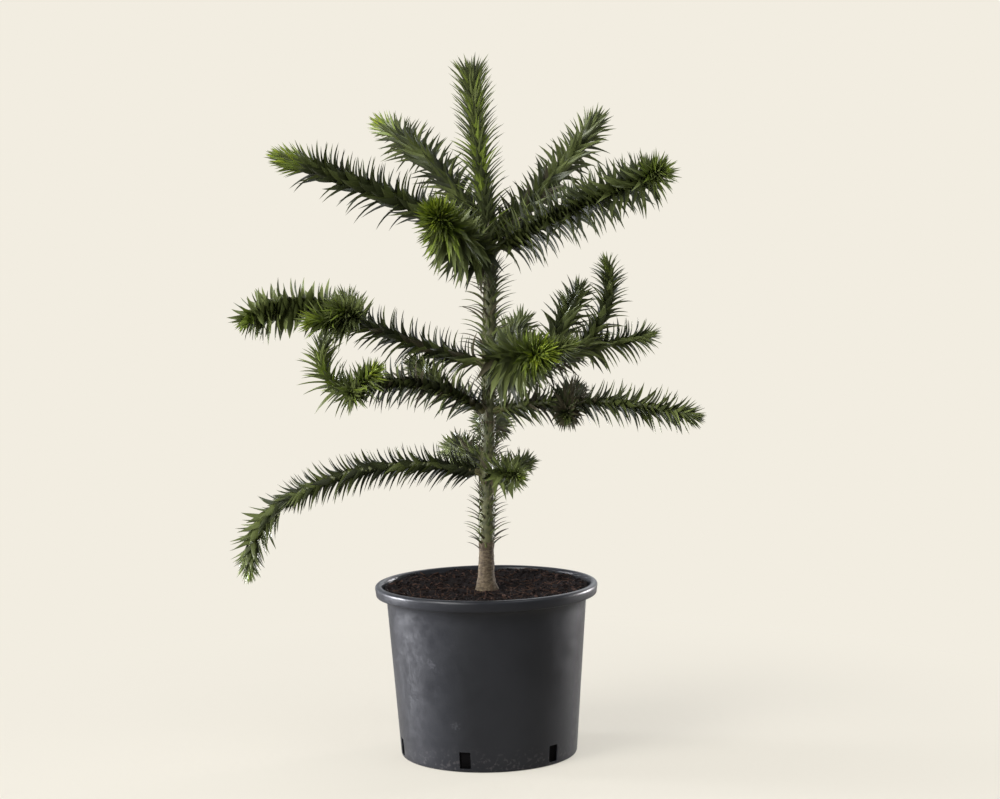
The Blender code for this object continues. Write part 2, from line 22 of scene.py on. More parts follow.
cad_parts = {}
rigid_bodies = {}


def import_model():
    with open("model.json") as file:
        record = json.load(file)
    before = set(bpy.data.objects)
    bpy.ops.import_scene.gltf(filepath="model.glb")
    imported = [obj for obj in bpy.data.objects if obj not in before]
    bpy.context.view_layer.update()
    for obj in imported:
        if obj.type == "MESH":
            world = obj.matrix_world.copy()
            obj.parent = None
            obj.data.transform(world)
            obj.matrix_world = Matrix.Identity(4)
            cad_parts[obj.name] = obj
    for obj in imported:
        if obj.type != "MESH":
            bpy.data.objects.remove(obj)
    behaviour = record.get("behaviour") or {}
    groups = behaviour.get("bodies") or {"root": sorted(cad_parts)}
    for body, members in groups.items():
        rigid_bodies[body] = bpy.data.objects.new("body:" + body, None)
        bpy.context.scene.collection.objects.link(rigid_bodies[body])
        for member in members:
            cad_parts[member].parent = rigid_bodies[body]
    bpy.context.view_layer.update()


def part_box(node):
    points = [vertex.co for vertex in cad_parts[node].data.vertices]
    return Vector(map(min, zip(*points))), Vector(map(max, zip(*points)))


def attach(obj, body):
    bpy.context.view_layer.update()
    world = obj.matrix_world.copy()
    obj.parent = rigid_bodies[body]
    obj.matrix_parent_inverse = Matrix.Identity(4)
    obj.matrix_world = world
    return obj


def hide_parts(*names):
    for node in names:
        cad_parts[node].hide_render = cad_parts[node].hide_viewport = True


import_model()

# %% [markdown]
# ## The plan of growth
#
# A tree can be drawn limb by limb, or it can be grown from a short plan. A plan is the better choice here,
# because every shoot obeys one rule and only its start, its heading and its length differ. The plan is the
# one that the solids were grown from: each branch starts at a height on the trunk, or at a share of the
# length of its parent. Azimuths are 0 to the right and 90 to the back, and rises are the climb in degrees.
# Both turn evenly from the first value to the last.

# %% The branches and twigs
Branch = namedtuple("Branch", "parent start azimuth rise length leaf")
BRANCHES = {
    "top_left": Branch("trunk", 0.524, (188, 187), (32, 16), 0.233, 0.034),
    "top_back_left": Branch("trunk", 0.531, (133, 130), (52, 20), 0.219, 0.034),
    "top_front": Branch("trunk", 0.513, (245, 261), (16, 14), 0.185, 0.034),
    "top_back_right": Branch("trunk", 0.527, (49, 43), (30, 45), 0.222, 0.034),
    "top_right": Branch("trunk", 0.519, (-11, -57), (30, 10), 0.225, 0.034),
    "upper_left": Branch("trunk", 0.404, (181, 182), (15, 25), 0.156, 0.029),
    "upper_left_tip": Branch("upper_left", 1, (182, 222), (25, -29), 0.114, 0.031),
    "upper_front": Branch("trunk", 0.408, (290, 291), (8, 2), 0.166, 0.034),
    "upper_right": Branch("trunk", 0.386, (36, 37), (17, 8), 0.125, 0.029),
    "upper_right_tip": Branch("upper_right", 1, (37, -8), (8, 11), 0.086, 0.027),
    "upper_right_rear": Branch("upper_right", 0.62, (52, 49), (51, 48), 0.098, 0.030),
    "upper_right_riser": Branch("upper_right", 0.88, (15, 11), (27, 106), 0.113, 0.028),
    "upper_back": Branch("trunk", 0.410, (66, 69), (14, 26), 0.104, 0.029),
    "middle_left": Branch("trunk", 0.352, (213, 207), (40, -13), 0.155, 0.027),
    "middle_left_tip": Branch("middle_left", 1, (207, 177), (-13, 125), 0.078, 0.028),
    "middle_right": Branch("trunk", 0.355, (-23, -29), (13, -13), 0.231, 0.025),
    "middle_back": Branch("trunk", 0.342, (88, 86), (4, -14), 0.140, 0.026),
    "low_left": Branch("trunk", 0.290, (173, 170), (16, -31), 0.225, 0.024),
    "low_left_tip": Branch("low_left", 1, (170, 182), (-31, -96), 0.092, 0.027),
    "low_right": Branch("trunk", 0.285, (45, 56), (17, 1), 0.074, 0.022),
    "low_back": Branch("trunk", 0.294, (108, 102), (16, -12), 0.165, 0.024),
    "low_front": Branch("trunk", 0.288, (-72, -64), (18, -8), 0.090, 0.023),
}
TWIGS = {
    "upper_left": (Branch("upper_left", 0.90, (220, 216), (7, -3), 0.065, 0.029),
                   Branch("upper_left", 0.88, (119, 118), (24, 35), 0.052, 0.028),
                   Branch("upper_left", 0.90, (239, 239), (26, 14), 0.052, 0.028)),
    "upper_front": (Branch("upper_front", 0.80, (330, 319), (8, 20), 0.047, 0.026),),
    "middle_left": (Branch("middle_left", 0.40, (129, 129), (35, 13), 0.058, 0.026),),
    "middle_left_tip": (Branch("middle_left_tip", 0.12, (316, 322), (27, 36), 0.043, 0.025),
                        Branch("middle_left_tip", 0.09, (266, 266), (-2, -5), 0.034, 0.026)),
    "middle_right": (Branch("middle_right", 0.38, (271, 266), (-10, -14), 0.055, 0.024),
                     Branch("middle_right", 0.36, (69, 70), (16, 6), 0.052, 0.024)),
}
print("branches:", len(BRANCHES), "side twigs:", sum(len(group) for group in TWIGS.values()))

# %% [markdown]
# The trunk has a plan too. Its stations are distances up from the soil, against degrees of climb and
# against radius. Old leaves still clothe some stretches of it, given as from, to, and the length of a leaf.

# %% The trunk
TRUNK_LENGTH = 0.5230
TRUNK_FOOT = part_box("trunk")[0][2]
TRUNK_RISE = ((0, 90), (0.006, 90), (0.016, 88.2), (0.315, 88.2), (0.375, 95.5), (TRUNK_LENGTH, 94.3))
TRUNK_RADII = (
    (0, 0.0125),
    (0.006, 0.0102),
    (0.016, 0.0085),
    (0.040, 0.0076),
    (0.180, 0.0068),
    (0.350, 0.0053),
    (0.450, 0.0046),
    (TRUNK_LENGTH, 0.0022),
)
LEADER_CAP = 0.0030
TRUNK_FOLIAGE = {
    "foliage_leader": (0.340, TRUNK_LENGTH + LEADER_CAP, 0.031),
    "foliage_upper_stem": (0.225, 0.337, 0.028),
    "foliage_middle_stem": (0.176, 0.222, 0.024),
    "foliage_lower_stem": (0.114, 0.173, 0.023),
    "foliage_foot": (0.040, 0.110, 0.021),
}
BOUGH_LENGTH = 0.024
BOUGH_RADII = ((0, 0.0044), (BOUGH_LENGTH, 0.0040))

# %% [markdown]
# ## Centre lines
#
# A shoot bends as it grows, so its centre line is stepped along its own heading in 2 mm paces. A curve
# object would do as well, but leaves need the heading and a level side direction at any distance along
# it, and a small class gives both. `blend` reads a plan's stations in straight lines.

# %% A centre line that turns as it goes
COURSE_STEP = 0.002


def blend(stations, s):
    """The value at distance s, read in straight lines between (distance, value) pairs."""
    low = stations[0]
    for high in stations[1:]:
        if s <= high[0]:
            share = (s - low[0]) / (high[0] - low[0])
            return low[1] + (high[1] - low[1]) * max(share, 0)
        low = high
    return low[1]


class Course:
    """The centre line of a stem, whose heading turns along its length."""

    def __init__(self, start, azimuths, rises, length):
        self.azimuths = azimuths
        self.rises = rises
        self.length = length
        self.step = length / math.ceil(length / COURSE_STEP)
        self.places = [Vector(start)]
        for index in range(round(length / self.step)):
            self.places.append(self.places[-1] + self.heading((index + 0.5) * self.step) * self.step)

    def heading(self, s):
        azimuth = math.radians(blend(self.azimuths, s))
        rise = math.radians(blend(self.rises, s))
        level = math.cos(rise)
        return Vector((level * math.cos(azimuth), level * math.sin(azimuth), math.sin(rise)))

    def side(self, s):
        """A level direction square to the heading."""
        azimuth = math.radians(blend(self.azimuths, s))
        return Vector((-math.sin(azimuth), math.cos(azimuth), 0))

    def away(self, s, turn):
        """The direction square to the heading at an angle round the stem."""
        side = self.side(s)
        return side * math.cos(turn) + self.heading(s).cross(side) * math.sin(turn)

    def point(self, s):
        """The centre at distance s. It runs straight on past both ends."""
        if s < 0:
            return self.places[0] + self.heading(0) * s
        if s > self.length:
            return self.places[-1] + self.heading(self.length) * (s - self.length)
        index = min(int(s / self.step), len(self.places) - 2)
        return self.places[index].lerp(self.places[index + 1], s / self.step - index)


# %% [markdown]
# The trunk's line comes first, because each other line starts from a point on its parent's. The plan names
# parents before their children, so one pass down it is enough.

# %% Every branch's centre line
trunk_line = Course((0, 0, TRUNK_FOOT), ((0, 0),), TRUNK_RISE, TRUNK_LENGTH)
courses = {}


def course_of(branch):
    """A branch's centre line, from its parent's."""
    if branch.parent == "trunk":
        start = trunk_line.point(branch.start - TRUNK_FOOT)
    else:
        parent = courses[branch.parent]
        start = parent.point(parent.length * branch.start)
    ends = (0, branch.length)
    return Course(start, tuple(zip(ends, branch.azimuth)), tuple(zip(ends, branch.rise)), branch.length)


for name, branch in BRANCHES.items():
    courses[name] = course_of(branch)
print("metres of branch:", round(sum(course.length for course in courses.values()), 2))

# %% [markdown]
# ## The camera
#
# The plant was seen from a little over two metres away with a long lens, level with its lowest whorl and
# tipped slightly down. A camera's own axes are right, up and back, so it is placed by two turns: one about
# X that lifts it from looking straight down, and one about its own line of sight for the slight roll.

# %% Place the camera
FRAME_WIDTH = 1000
FOCAL_PIXELS = 2087
SENSOR = 36
CAMERA_PLACE = (0.0177, -2.142, 0.5382)
CAMERA_TIP = 0.0796
CAMERA_ROLL = -0.0182

camera_data = bpy.data.cameras.new("camera")
camera_data.sensor_width = SENSOR
camera_data.lens = SENSOR * FOCAL_PIXELS / FRAME_WIDTH
camera = bpy.data.objects.new("camera", camera_data)
bpy.context.scene.collection.objects.link(camera)
tipped = Matrix.Rotation(math.pi / 2 - CAMERA_TIP, 4, "X") @ Matrix.Rotation(CAMERA_ROLL, 4, "Z")
camera.matrix_world = Matrix.Translation(CAMERA_PLACE) @ tipped
bpy.context.scene.camera = camera
print("lens:", round(camera_data.lens, 1), "mm")

# %% [markdown]
# ## Colours and nodes
#
# Every finish here is a Principled shader with a few nodes in front of it. Three small helpers keep the
# later cells short: one makes a finish from a colour as it reads on screen, one adds a node and sets its
# inputs, and one wires two sockets together. The film look is left off, so that colours come out as mixed.

# %% Helpers for finishes
bpy.context.scene.view_settings.view_transform = "Standard"


def screen(red, green, blue):
    """A colour as read on screen, 0 to 255, in the linear values that a shader takes."""
    shares = [part / 255 for part in (red, green, blue)]
    return tuple(v / 12.92 if v <= 0.04045 else ((v + 0.055) / 1.055) ** 2.4 for v in shares) + (1,)


def new_finish(name, colour, roughness, shine=0.5):
    made = bpy.data.materials.new(name)
    made.use_nodes = True
    shader = made.node_tree.nodes["Principled BSDF"]
    shader.inputs["Base Color"].default_value = screen(*colour)
    shader.inputs["Roughness"].default_value = roughness
    shader.inputs["Specular IOR Level"].default_value = shine
    made.diffuse_color = screen(*colour)
    return made


def add(finish, kind, inputs=(), **settings):
    """One more node in a finish, with these inputs and settings."""
    made = finish.node_tree.nodes.new("ShaderNode" + kind)
    for name, value in settings.items():
        setattr(made, name, value)
    for name, value in dict(inputs).items():
        made.inputs[name].default_value = value
    return made


def wire(finish, output, target):
    finish.node_tree.links.new(output, target)


def shader_input(finish, name):
    return finish.node_tree.nodes["Principled BSDF"].inputs[name]


# %% [markdown]
# Patterns read Object coordinates, so they stay on the plant and keep their real size. A grain is cloudy
# noise whose lumps are about as wide as the size given. A share is a socket between 0 and 1, which then
# mixes two colours, sets the roughness between two values, or raises a relief.

# %% Helpers for patterns
def grain(finish, size, detail=2.0, stretch=(1, 1, 1)):
    """Noise with lumps about this wide in metres, stretched by these factors along X, Y and Z."""
    place = add(finish, "TexCoord")
    scale = add(finish, "Mapping")
    scale.inputs["Scale"].default_value = [1 / (size * factor) for factor in stretch]
    wire(finish, place.outputs["Object"], scale.inputs["Vector"])
    cloud = add(finish, "TexNoise", {"Scale": 1.0, "Detail": detail})
    wire(finish, scale.outputs["Vector"], cloud.inputs["Vector"])
    return cloud.outputs["Fac"]


def share(finish, value, low, high, first=0.0, last=1.0):
    """A socket that goes from first to last as value goes from low to high."""
    made = add(finish, "MapRange", {"From Min": low, "From Max": high, "To Min": first, "To Max": last})
    made.interpolation_type = "SMOOTHSTEP"
    wire(finish, value, made.inputs["Value"])
    return made.outputs["Result"]


def mix(finish, amount, first, second):
    """Two colours or sockets, mixed by the amount."""
    made = add(finish, "Mix", data_type="RGBA")
    wire(finish, amount, made.inputs["Factor"])
    for socket, colour in ((made.inputs[6], first), (made.inputs[7], second)):
        if isinstance(colour, bpy.types.NodeSocket):
            wire(finish, colour, socket)
        else:
            socket.default_value = screen(*colour)
    return made.outputs[2]


def height_in(finish):
    """A socket with the height above the ground, in metres."""
    place = add(finish, "TexCoord")
    parts = add(finish, "SeparateXYZ")
    wire(finish, place.outputs["Object"], parts.inputs[0])
    return parts.outputs["Z"]


def raise_relief(finish, heights, depth, strength=1.0):
    """A bump whose full height is depth, in metres. Heights given together are stacked."""
    normal = None
    for height in heights:
        bump = add(finish, "Bump", {"Strength": strength, "Distance": depth})
        wire(finish, height, bump.inputs["Height"])
        if normal:
            wire(finish, normal, bump.inputs["Normal"])
        normal = bump.outputs["Normal"]
    wire(finish, normal, shader_input(finish, "Normal"))


# %% [markdown]
# ## The studio
#
# The plant stands on a plain pale floor that runs into a backdrop of the same tone with no line between.
# A curved sheet of paper could make that, but from some side it would end. Here the floor glows in the
# backdrop's own tone, and only close to the pot does it also take light and shadow, so it blends away on
# every side. The camera sees the tone of the backdrop, and the plant is lit by a softer grey.

# %% Floor and backdrop
BACKDROP = (242, 237, 225)
FLOOR_RADIUS = 9.0
SHADED_FLOOR = (0.16, 0.75)  # from full shading to none, as distances from the pot's middle
SHADING = 0.42
FLOOR_GAP = 0.0004
AMBIENT = (0.92, 0.96, 1.0, 1)
AMBIENT_FRONT = 0.28
AMBIENT_BACK = 0.66
PAPER = (192, 187, 176)
FLOOR_GLOW = 0.35  # how brightly the floor lights the plant, beside how bright it looks


def build_floor():
    finish = bpy.data.materials.new("pale_floor")
    finish.use_nodes = True
    nodes = finish.node_tree.nodes
    nodes.clear()
    place = add(finish, "TexCoord")
    length = add(finish, "VectorMath", operation="LENGTH")
    wire(finish, place.outputs["Object"], length.inputs[0])
    near = share(finish, length.outputs["Value"], *SHADED_FLOOR, first=SHADING, last=0)
    glow = add(finish, "Emission", {"Color": screen(*BACKDROP)})
    ray = add(finish, "LightPath")
    wire(finish, share(finish, ray.outputs["Is Camera Ray"], 0, 1, FLOOR_GLOW, 1), glow.inputs["Strength"])
    paper = add(finish, "BsdfDiffuse", {"Color": screen(*PAPER)})
    both = add(finish, "MixShader")
    out = add(finish, "OutputMaterial")
    wire(finish, near, both.inputs[0])
    wire(finish, glow.outputs[0], both.inputs[1])
    wire(finish, paper.outputs[0], both.inputs[2])
    wire(finish, both.outputs[0], out.inputs["Surface"])
    shape = bmesh.new()
    bmesh.ops.create_circle(shape, cap_ends=True, cap_tris=True, segments=96, radius=FLOOR_RADIUS)
    bmesh.ops.translate(shape, vec=(0, 0, -FLOOR_GAP), verts=shape.verts)
    mesh = bpy.data.meshes.new("floor")
    shape.to_mesh(mesh)
    shape.free()
    mesh.materials.append(finish)
    floor = bpy.data.objects.new("floor", mesh)
    bpy.context.scene.collection.objects.link(floor)


def build_backdrop():
    world = bpy.data.worlds.new("studio")
    world.use_nodes = True
    bpy.context.scene.world = world
    nodes = world.node_tree.nodes
    links = world.node_tree.links
    ambient = nodes["Background"]
    ambient.inputs["Color"].default_value = AMBIENT
    direction = nodes.new("ShaderNodeTexCoord")
    parts = nodes.new("ShaderNodeSeparateXYZ")
    depth = nodes.new("ShaderNodeMapRange")
    depth.inputs["From Min"].default_value = -1
    depth.inputs["To Min"].default_value = AMBIENT_FRONT
    depth.inputs["To Max"].default_value = AMBIENT_BACK
    links.new(direction.outputs["Generated"], parts.inputs[0])
    links.new(parts.outputs["Y"], depth.inputs["Value"])
    links.new(depth.outputs["Result"], ambient.inputs["Strength"])
    seen = nodes.new("ShaderNodeBackground")
    seen.inputs["Color"].default_value = screen(*BACKDROP)
    ray = nodes.new("ShaderNodeLightPath")
    both = nodes.new("ShaderNodeMixShader")
    links.new(ray.outputs["Is Camera Ray"], both.inputs[0])
    links.new(ambient.outputs[0], both.inputs[1])
    links.new(seen.outputs[0], both.inputs[2])
    links.new(both.outputs[0], nodes["World Output"].inputs["Surface"])


build_floor()
build_backdrop()
print("floor:", 2 * FLOOR_RADIUS, "m across")

# %% [markdown]
# Six soft boxes light the plant. The large key stands high on the left, a little in front. A weak box low in
# front and a fill high on the right keep the shaded side readable, and one behind lifts the far leaves. The
# two edge lights are low, flat and narrow, so they draw the sides of the pot and pass below the leaves.

# %% Soft boxes
PLANT_AIM = 0.42
POT_AIM = 0.09
WIDE = 180
NARROW = 20
# Where each box stands, the height that it points at, its width and height, its power, its spread in degrees
# and its colour.
SOFT_BOXES = {
    "key": ((-2.0, -1.7, 2.2), PLANT_AIM, (1.4, 1.4), 104, WIDE, (1.0, 0.985, 0.95)),
    "front": ((-1.9, -2.5, 0.9), PLANT_AIM, (1.2, 1.2), 54, WIDE, (0.96, 0.98, 1.0)),
    "fill": ((1.6, -1.3, 2.9), PLANT_AIM, (1.6, 1.6), 26, WIDE, (0.95, 0.97, 1.0)),
    "back": ((0.9, 2.4, 1.8), PLANT_AIM, (2.0, 2.0), 18, WIDE, (0.97, 0.98, 1.0)),
    "left_edge": ((-2.3, 0.5, 0.22), POT_AIM, (1.3, 0.3), 6.8, NARROW, (0.93, 0.94, 1.0)),
    "right_edge": ((1.9, 1.3, 0.22), POT_AIM, (1.1, 0.3), 2.4, NARROW, (1.0, 0.97, 1.0)),
}
FILL_GLOSS = 0.05  # how much of the fill shows as a gleam
for name, (place, aim, size, power, spread, colour) in SOFT_BOXES.items():
    light = bpy.data.lights.new(name, "AREA")
    light.shape = "RECTANGLE"
    light.size, light.size_y = size
    light.energy = power
    light.spread = math.radians(spread)
    light.color = colour
    light.specular_factor = FILL_GLOSS if name == "fill" else 1
    holder = bpy.data.objects.new(name, light)
    holder.location = place
    holder.rotation_euler = (Vector((0, 0, aim)) - Vector(place)).to_track_quat("-Z", "Y").to_euler()
    holder.visible_camera = False
    bpy.context.scene.collection.objects.link(holder)
print("lights:", len(SOFT_BOXES))

# %% [markdown]
# ## Finished pieces
#
# A piece made in bmesh becomes an object in two helpers. One turns the normals outward and shades the
# mesh smooth with crisp corners, and the other gives it the finish, hangs it on the plant and hides the
# solids that it stands for.

# %% From bmesh to a finished piece
CRISP = 40  # an edge that turns more than this, in degrees, stays sharp
SOFT_CRISP = 60  # the same for bark and stems
ALL_SMOOTH = 180
MERGE = 0.000001


def add_piece(name, mesh, finish, nodes):
    """A finished piece that rides with the plant and stands for these solids."""
    mesh.materials.clear()
    mesh.materials.append(finish)
    piece = bpy.data.objects.new(name, mesh)
    bpy.context.scene.collection.objects.link(piece)
    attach(piece, "root")
    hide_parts(*sorted(nodes))
    print(name, "faces:", len(mesh.polygons))
    return piece


def mesh_of(name, shape, crisp=CRISP):
    """The mesh of a finished bmesh, shaded smooth between its sharp edges."""
    bmesh.ops.recalc_face_normals(shape, faces=shape.faces)
    mesh = bpy.data.meshes.new(name)
    shape.to_mesh(mesh)
    shape.free()
    mesh.shade_smooth()
    mesh.set_sharp_from_angle(angle=math.radians(crisp))
    return mesh


def turned(outline, steps):
    """A bmesh of a (radius, height) outline that starts and ends on the axis, spun about Z."""
    shape = bmesh.new()
    corners = [shape.verts.new((radius, 0, height)) for radius, height in outline]
    for first, second in zip(corners, corners[1:]):
        shape.edges.new((first, second))
    bmesh.ops.spin(shape, geom=shape.verts[:] + shape.edges[:], cent=(0, 0, 0), axis=(0, 0, 1),
                   angle=math.tau, steps=steps, use_merge=True)
    bmesh.ops.remove_doubles(shape, verts=shape.verts, dist=MERGE)
    return shape


def arc(centre, radius, first, last, count):
    """Points on an arc in the (radius, height) plane, between two angles in degrees."""
    angles = [math.radians(first + (last - first) * index / count) for index in range(count + 1)]
    return [(centre[0] + radius * math.cos(a), centre[1] + radius * math.sin(a)) for a in angles]


# %% [markdown]
# ## The pot
#
# A nursery pot is blown or moulded in one thin tapering wall with a turned-down lip. Any turned shape is
# an outline spun about its axis. The outline runs inside up the wall, over the lip, down outside and back
# under the floor. The drainage slots are then cut through the wall.

# %% Pot outline
POT_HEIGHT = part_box("pot")[1][2]
RIM_RADIUS = 0.115
BASE_RADIUS = 0.0913
WALL_TOP_RADIUS = 0.1035
WALL = 0.0018
FLOOR = 0.0025
LIP_HEIGHT = 0.0115
LIP_WALL = 0.0027
LIP_DRAFT = 0.0009
LIP_ROUND = 0.0032
FLARE_RADIUS = 0.1078  # the mouth widens to this inside the lip
BASE_ROUND = 0.0025
POT_STEPS = 180
ROUND_STEPS = 7
WALL_STEPS = 24


def wall_radius(height):
    """The outer radius of the pot's tapering wall."""
    return BASE_RADIUS + (WALL_TOP_RADIUS - BASE_RADIUS) * height / (POT_HEIGHT - LIP_HEIGHT)


def pot_outline():
    lip_foot = POT_HEIGHT - LIP_HEIGHT
    lip_roof = POT_HEIGHT - LIP_ROUND
    mouth = WALL_TOP_RADIUS - WALL
    outline = [(0, FLOOR), (wall_radius(FLOOR) - WALL, FLOOR), (mouth, lip_foot)]
    outline += arc((FLARE_RADIUS + LIP_ROUND, lip_roof), LIP_ROUND, 180, 90, ROUND_STEPS)
    outline += arc((RIM_RADIUS - LIP_ROUND, lip_roof), LIP_ROUND, 90, 0, ROUND_STEPS)
    outline += arc((RIM_RADIUS - LIP_DRAFT - LIP_WALL / 2, lip_foot + LIP_WALL / 2),
                   LIP_WALL / 2, 0, -180, ROUND_STEPS)
    outline += [(RIM_RADIUS - LIP_WALL, lip_roof - LIP_ROUND)]
    outline += [(FLARE_RADIUS + WALL, lip_roof - LIP_ROUND), (WALL_TOP_RADIUS + LIP_DRAFT, lip_foot)]
    for index in range(1, WALL_STEPS + 1):
        height = lip_foot + (BASE_ROUND - lip_foot) * index / WALL_STEPS
        outline.append((wall_radius(height), height))
    outline += arc((wall_radius(BASE_ROUND) - BASE_ROUND, BASE_ROUND), BASE_ROUND, 0, -90, ROUND_STEPS)[1:]
    return outline + [(0, 0)]


print("corners in the pot's outline:", len(pot_outline()))

# %% [markdown]
# The slots are cut with one Boolean that takes all six cutters, and its result is fixed in the mesh.
# Plastic this thin is never quite round, so the wall is pulled a fraction of a millimetre in and out.

# %% Build the pot
SLOT_COUNT = 6
SLOT_WIDTH = 0.0115
SLOT_HEIGHT = 0.0172
SLOT_RISE = 0.0038
SLOT_DEPTH = 0.012
SLOT_AZIMUTH = -105
SLOT_CORNER = 0.0008
SLOT_SLACK = 0.0001  # how closely an edge's length has to match the slot's depth
WARP = 0.0003
WARP_TURN = 0.6


def cut_slots(piece):
    shape = bmesh.new()
    for index in range(SLOT_COUNT):
        block = bmesh.ops.create_cube(shape, size=1)["verts"]
        bmesh.ops.scale(shape, vec=(SLOT_DEPTH, SLOT_WIDTH, SLOT_HEIGHT), verts=block)
        bmesh.ops.translate(shape, vec=(BASE_RADIUS, 0, SLOT_RISE + SLOT_HEIGHT / 2), verts=block)
        turn = Matrix.Rotation(math.radians(SLOT_AZIMUTH + 360 / SLOT_COUNT * index), 3, "Z")
        bmesh.ops.rotate(shape, cent=(0, 0, 0), matrix=turn, verts=block)
    radial = [edge for edge in shape.edges if abs(edge.calc_length() - SLOT_DEPTH) < SLOT_SLACK]
    bmesh.ops.bevel(shape, geom=radial, offset=SLOT_CORNER, segments=2, affect="EDGES", profile=0.5,
                    material=-1)
    cutter_mesh = bpy.data.meshes.new("slot_cutters")
    shape.to_mesh(cutter_mesh)
    shape.free()
    cutter = bpy.data.objects.new("slot_cutters", cutter_mesh)
    bpy.context.scene.collection.objects.link(cutter)
    cut = piece.modifiers.new("slots", "BOOLEAN")
    cut.operation = "DIFFERENCE"
    cut.object = cutter
    bpy.context.view_layer.update()
    graph = bpy.context.evaluated_depsgraph_get()
    fixed = bpy.data.meshes.new_from_object(piece.evaluated_get(graph))
    piece.modifiers.clear()
    piece.data = fixed
    bpy.data.objects.remove(cutter)


def warp(point):
    """Pulls a point of the pot's wall slightly in or out, more toward the free edge of the lip."""
    turn = math.atan2(point.y, point.x)
    pull = WARP * (point.z / POT_HEIGHT) * (math.sin(2 * turn + WARP_TURN) + 0.5 * math.sin(3 * turn))
    radius = math.hypot(point.x, point.y)
    return Vector((point.x, point.y, 0)) * (pull / radius) if radius > BASE_RADIUS / 2 else Vector()


pot_shape = turned(pot_outline(), POT_STEPS)
for corner in pot_shape.verts:
    corner.co += warp(corner.co)
print("corners in the turned pot:", len(pot_shape.verts))

# %% [markdown]
# The plastic is a near-black polypropylene with a satin skin. On the real pot the tone drifts a little,
# dust gathers near the foot, and handling has left a few small pale scuffs on the front.

# %% Pot plastic
SCUFFS = (
    ((-0.0560, -0.0818, 0.1090), 0.0060),
    ((-0.0660, -0.0742, 0.1135), 0.0038),
    ((-0.0404, -0.0951, 0.1640), 0.0022),
    ((-0.0332, -0.0888, 0.0480), 0.0050),
)
SCUFF_STRENGTH = 0.10
SCUFF_RAGGED = 4  # how far noise pushes a scuff's edge about, in sizes
SCUFF_EDGE = (1.9, 3)  # where a scuff starts to fade and where it ends, in sizes
DUST_REACH = (0.002, 0.030)  # the heights between which the dust near the foot thins out


def scuff(finish, place, size, rough):
    """A ragged pale mark, full at its place and gone beyond its size."""
    spot = add(finish, "TexCoord")
    away = add(finish, "VectorMath", {1: place}, operation="DISTANCE")
    wire(finish, spot.outputs["Object"], away.inputs[0])
    ragged = add(finish, "Math", operation="MULTIPLY_ADD")
    wire(finish, rough, ragged.inputs[0])
    ragged.inputs[1].default_value = size * SCUFF_RAGGED
    wire(finish, away.outputs["Value"], ragged.inputs[2])
    return share(finish, ragged.outputs[0], *(size * edge for edge in SCUFF_EDGE), SCUFF_STRENGTH, 0)


def pot_plastic():
    finish = new_finish("satin_black_plastic", (31, 32, 37), 0.34, 0.28)
    drift = share(finish, grain(finish, 0.07, 3), 0.3, 0.7)
    colour = mix(finish, drift, (28, 29, 33), (34, 35, 39))
    low = share(finish, height_in(finish), *DUST_REACH, 1, 0)
    specks = share(finish, grain(finish, 0.0035, 6), 0.52, 0.66)
    dusty = add(finish, "Math", operation="MULTIPLY")
    wire(finish, low, dusty.inputs[0])
    wire(finish, specks, dusty.inputs[1])
    colour = mix(finish, dusty.outputs[0], colour, (58, 56, 58))
    rough = grain(finish, 0.0025, 5)
    for spot, size in SCUFFS:
        colour = mix(finish, scuff(finish, spot, size, rough), colour, (128, 128, 134))
    wire(finish, colour, shader_input(finish, "Base Color"))
    wire(finish, share(finish, grain(finish, 0.012, 4), 0.3, 0.7, 0.30, 0.40),
         shader_input(finish, "Roughness"))
    raise_relief(finish, [grain(finish, 0.0016, 3), grain(finish, 0.03, 2)], 0.00008, 0.5)
    return finish


pot = add_piece("pot_shell", mesh_of("pot_shell", pot_shape), pot_plastic(), ["pot"])
cut_slots(pot)
pot.data.shade_smooth()
pot.data.set_sharp_from_angle(angle=math.radians(CRISP))
print("faces with the slots cut:", len(pot.data.polygons))

# %% [markdown]
# ## The soil
#
# Potting soil is dark peat with lumps, bits of bark and fine roots. Its body is a finely divided turned
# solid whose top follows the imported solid's shallow dish and soft lumps, with rougher noise added. Loose
# crumbs and fibres then lie on it. Hundreds of small things are best made as one joined mesh: a single
# small shape is copied as an array of points, each copy turned, stretched and placed by its own matrix.

# %% Soil body
SOIL_HEIGHT = 0.1700
SOIL_DISH = 0.0042
SOIL_LEVEL = 1.1
SOIL_LUMPS = ((90, 40, 0.0011), (-60, 110, 0.0009), (150, -75, 0.0006))
SOIL_RINGS = 90
SOIL_STEPS = 220
SOIL_SIDE_RINGS = 14
SOIL_CLEAR = 0.0004
SOIL_RADIUS = 0.1048
SOIL_SKIN = 0.001  # corners this close to the top follow the rough surface
FINE_LUMPS = ((0.014, 0.0014), (0.005, 0.0010), (0.0022, 0.0006))


def soil_height(x, y):
    """The packed soil's surface: a shallow dish with soft lumps, level round the trunk's foot."""
    radius = math.hypot(x, y)
    height = SOIL_HEIGHT + SOIL_DISH * (radius / WALL_TOP_RADIUS) ** 2
    away = min(1, max(0, radius / TRUNK_RADII[0][1] - SOIL_LEVEL))
    for across, deep, lump in SOIL_LUMPS:
        height += away * lump * math.sin(across * x + deep * y)
    return height


def rough_soil_height(x, y):
    """The same surface with the crumbly relief of peat."""
    height = soil_height(x, y)
    for size, depth in FINE_LUMPS:
        height += depth * noise.noise(Vector((x / size, y / size, size * 1000)))
    return height


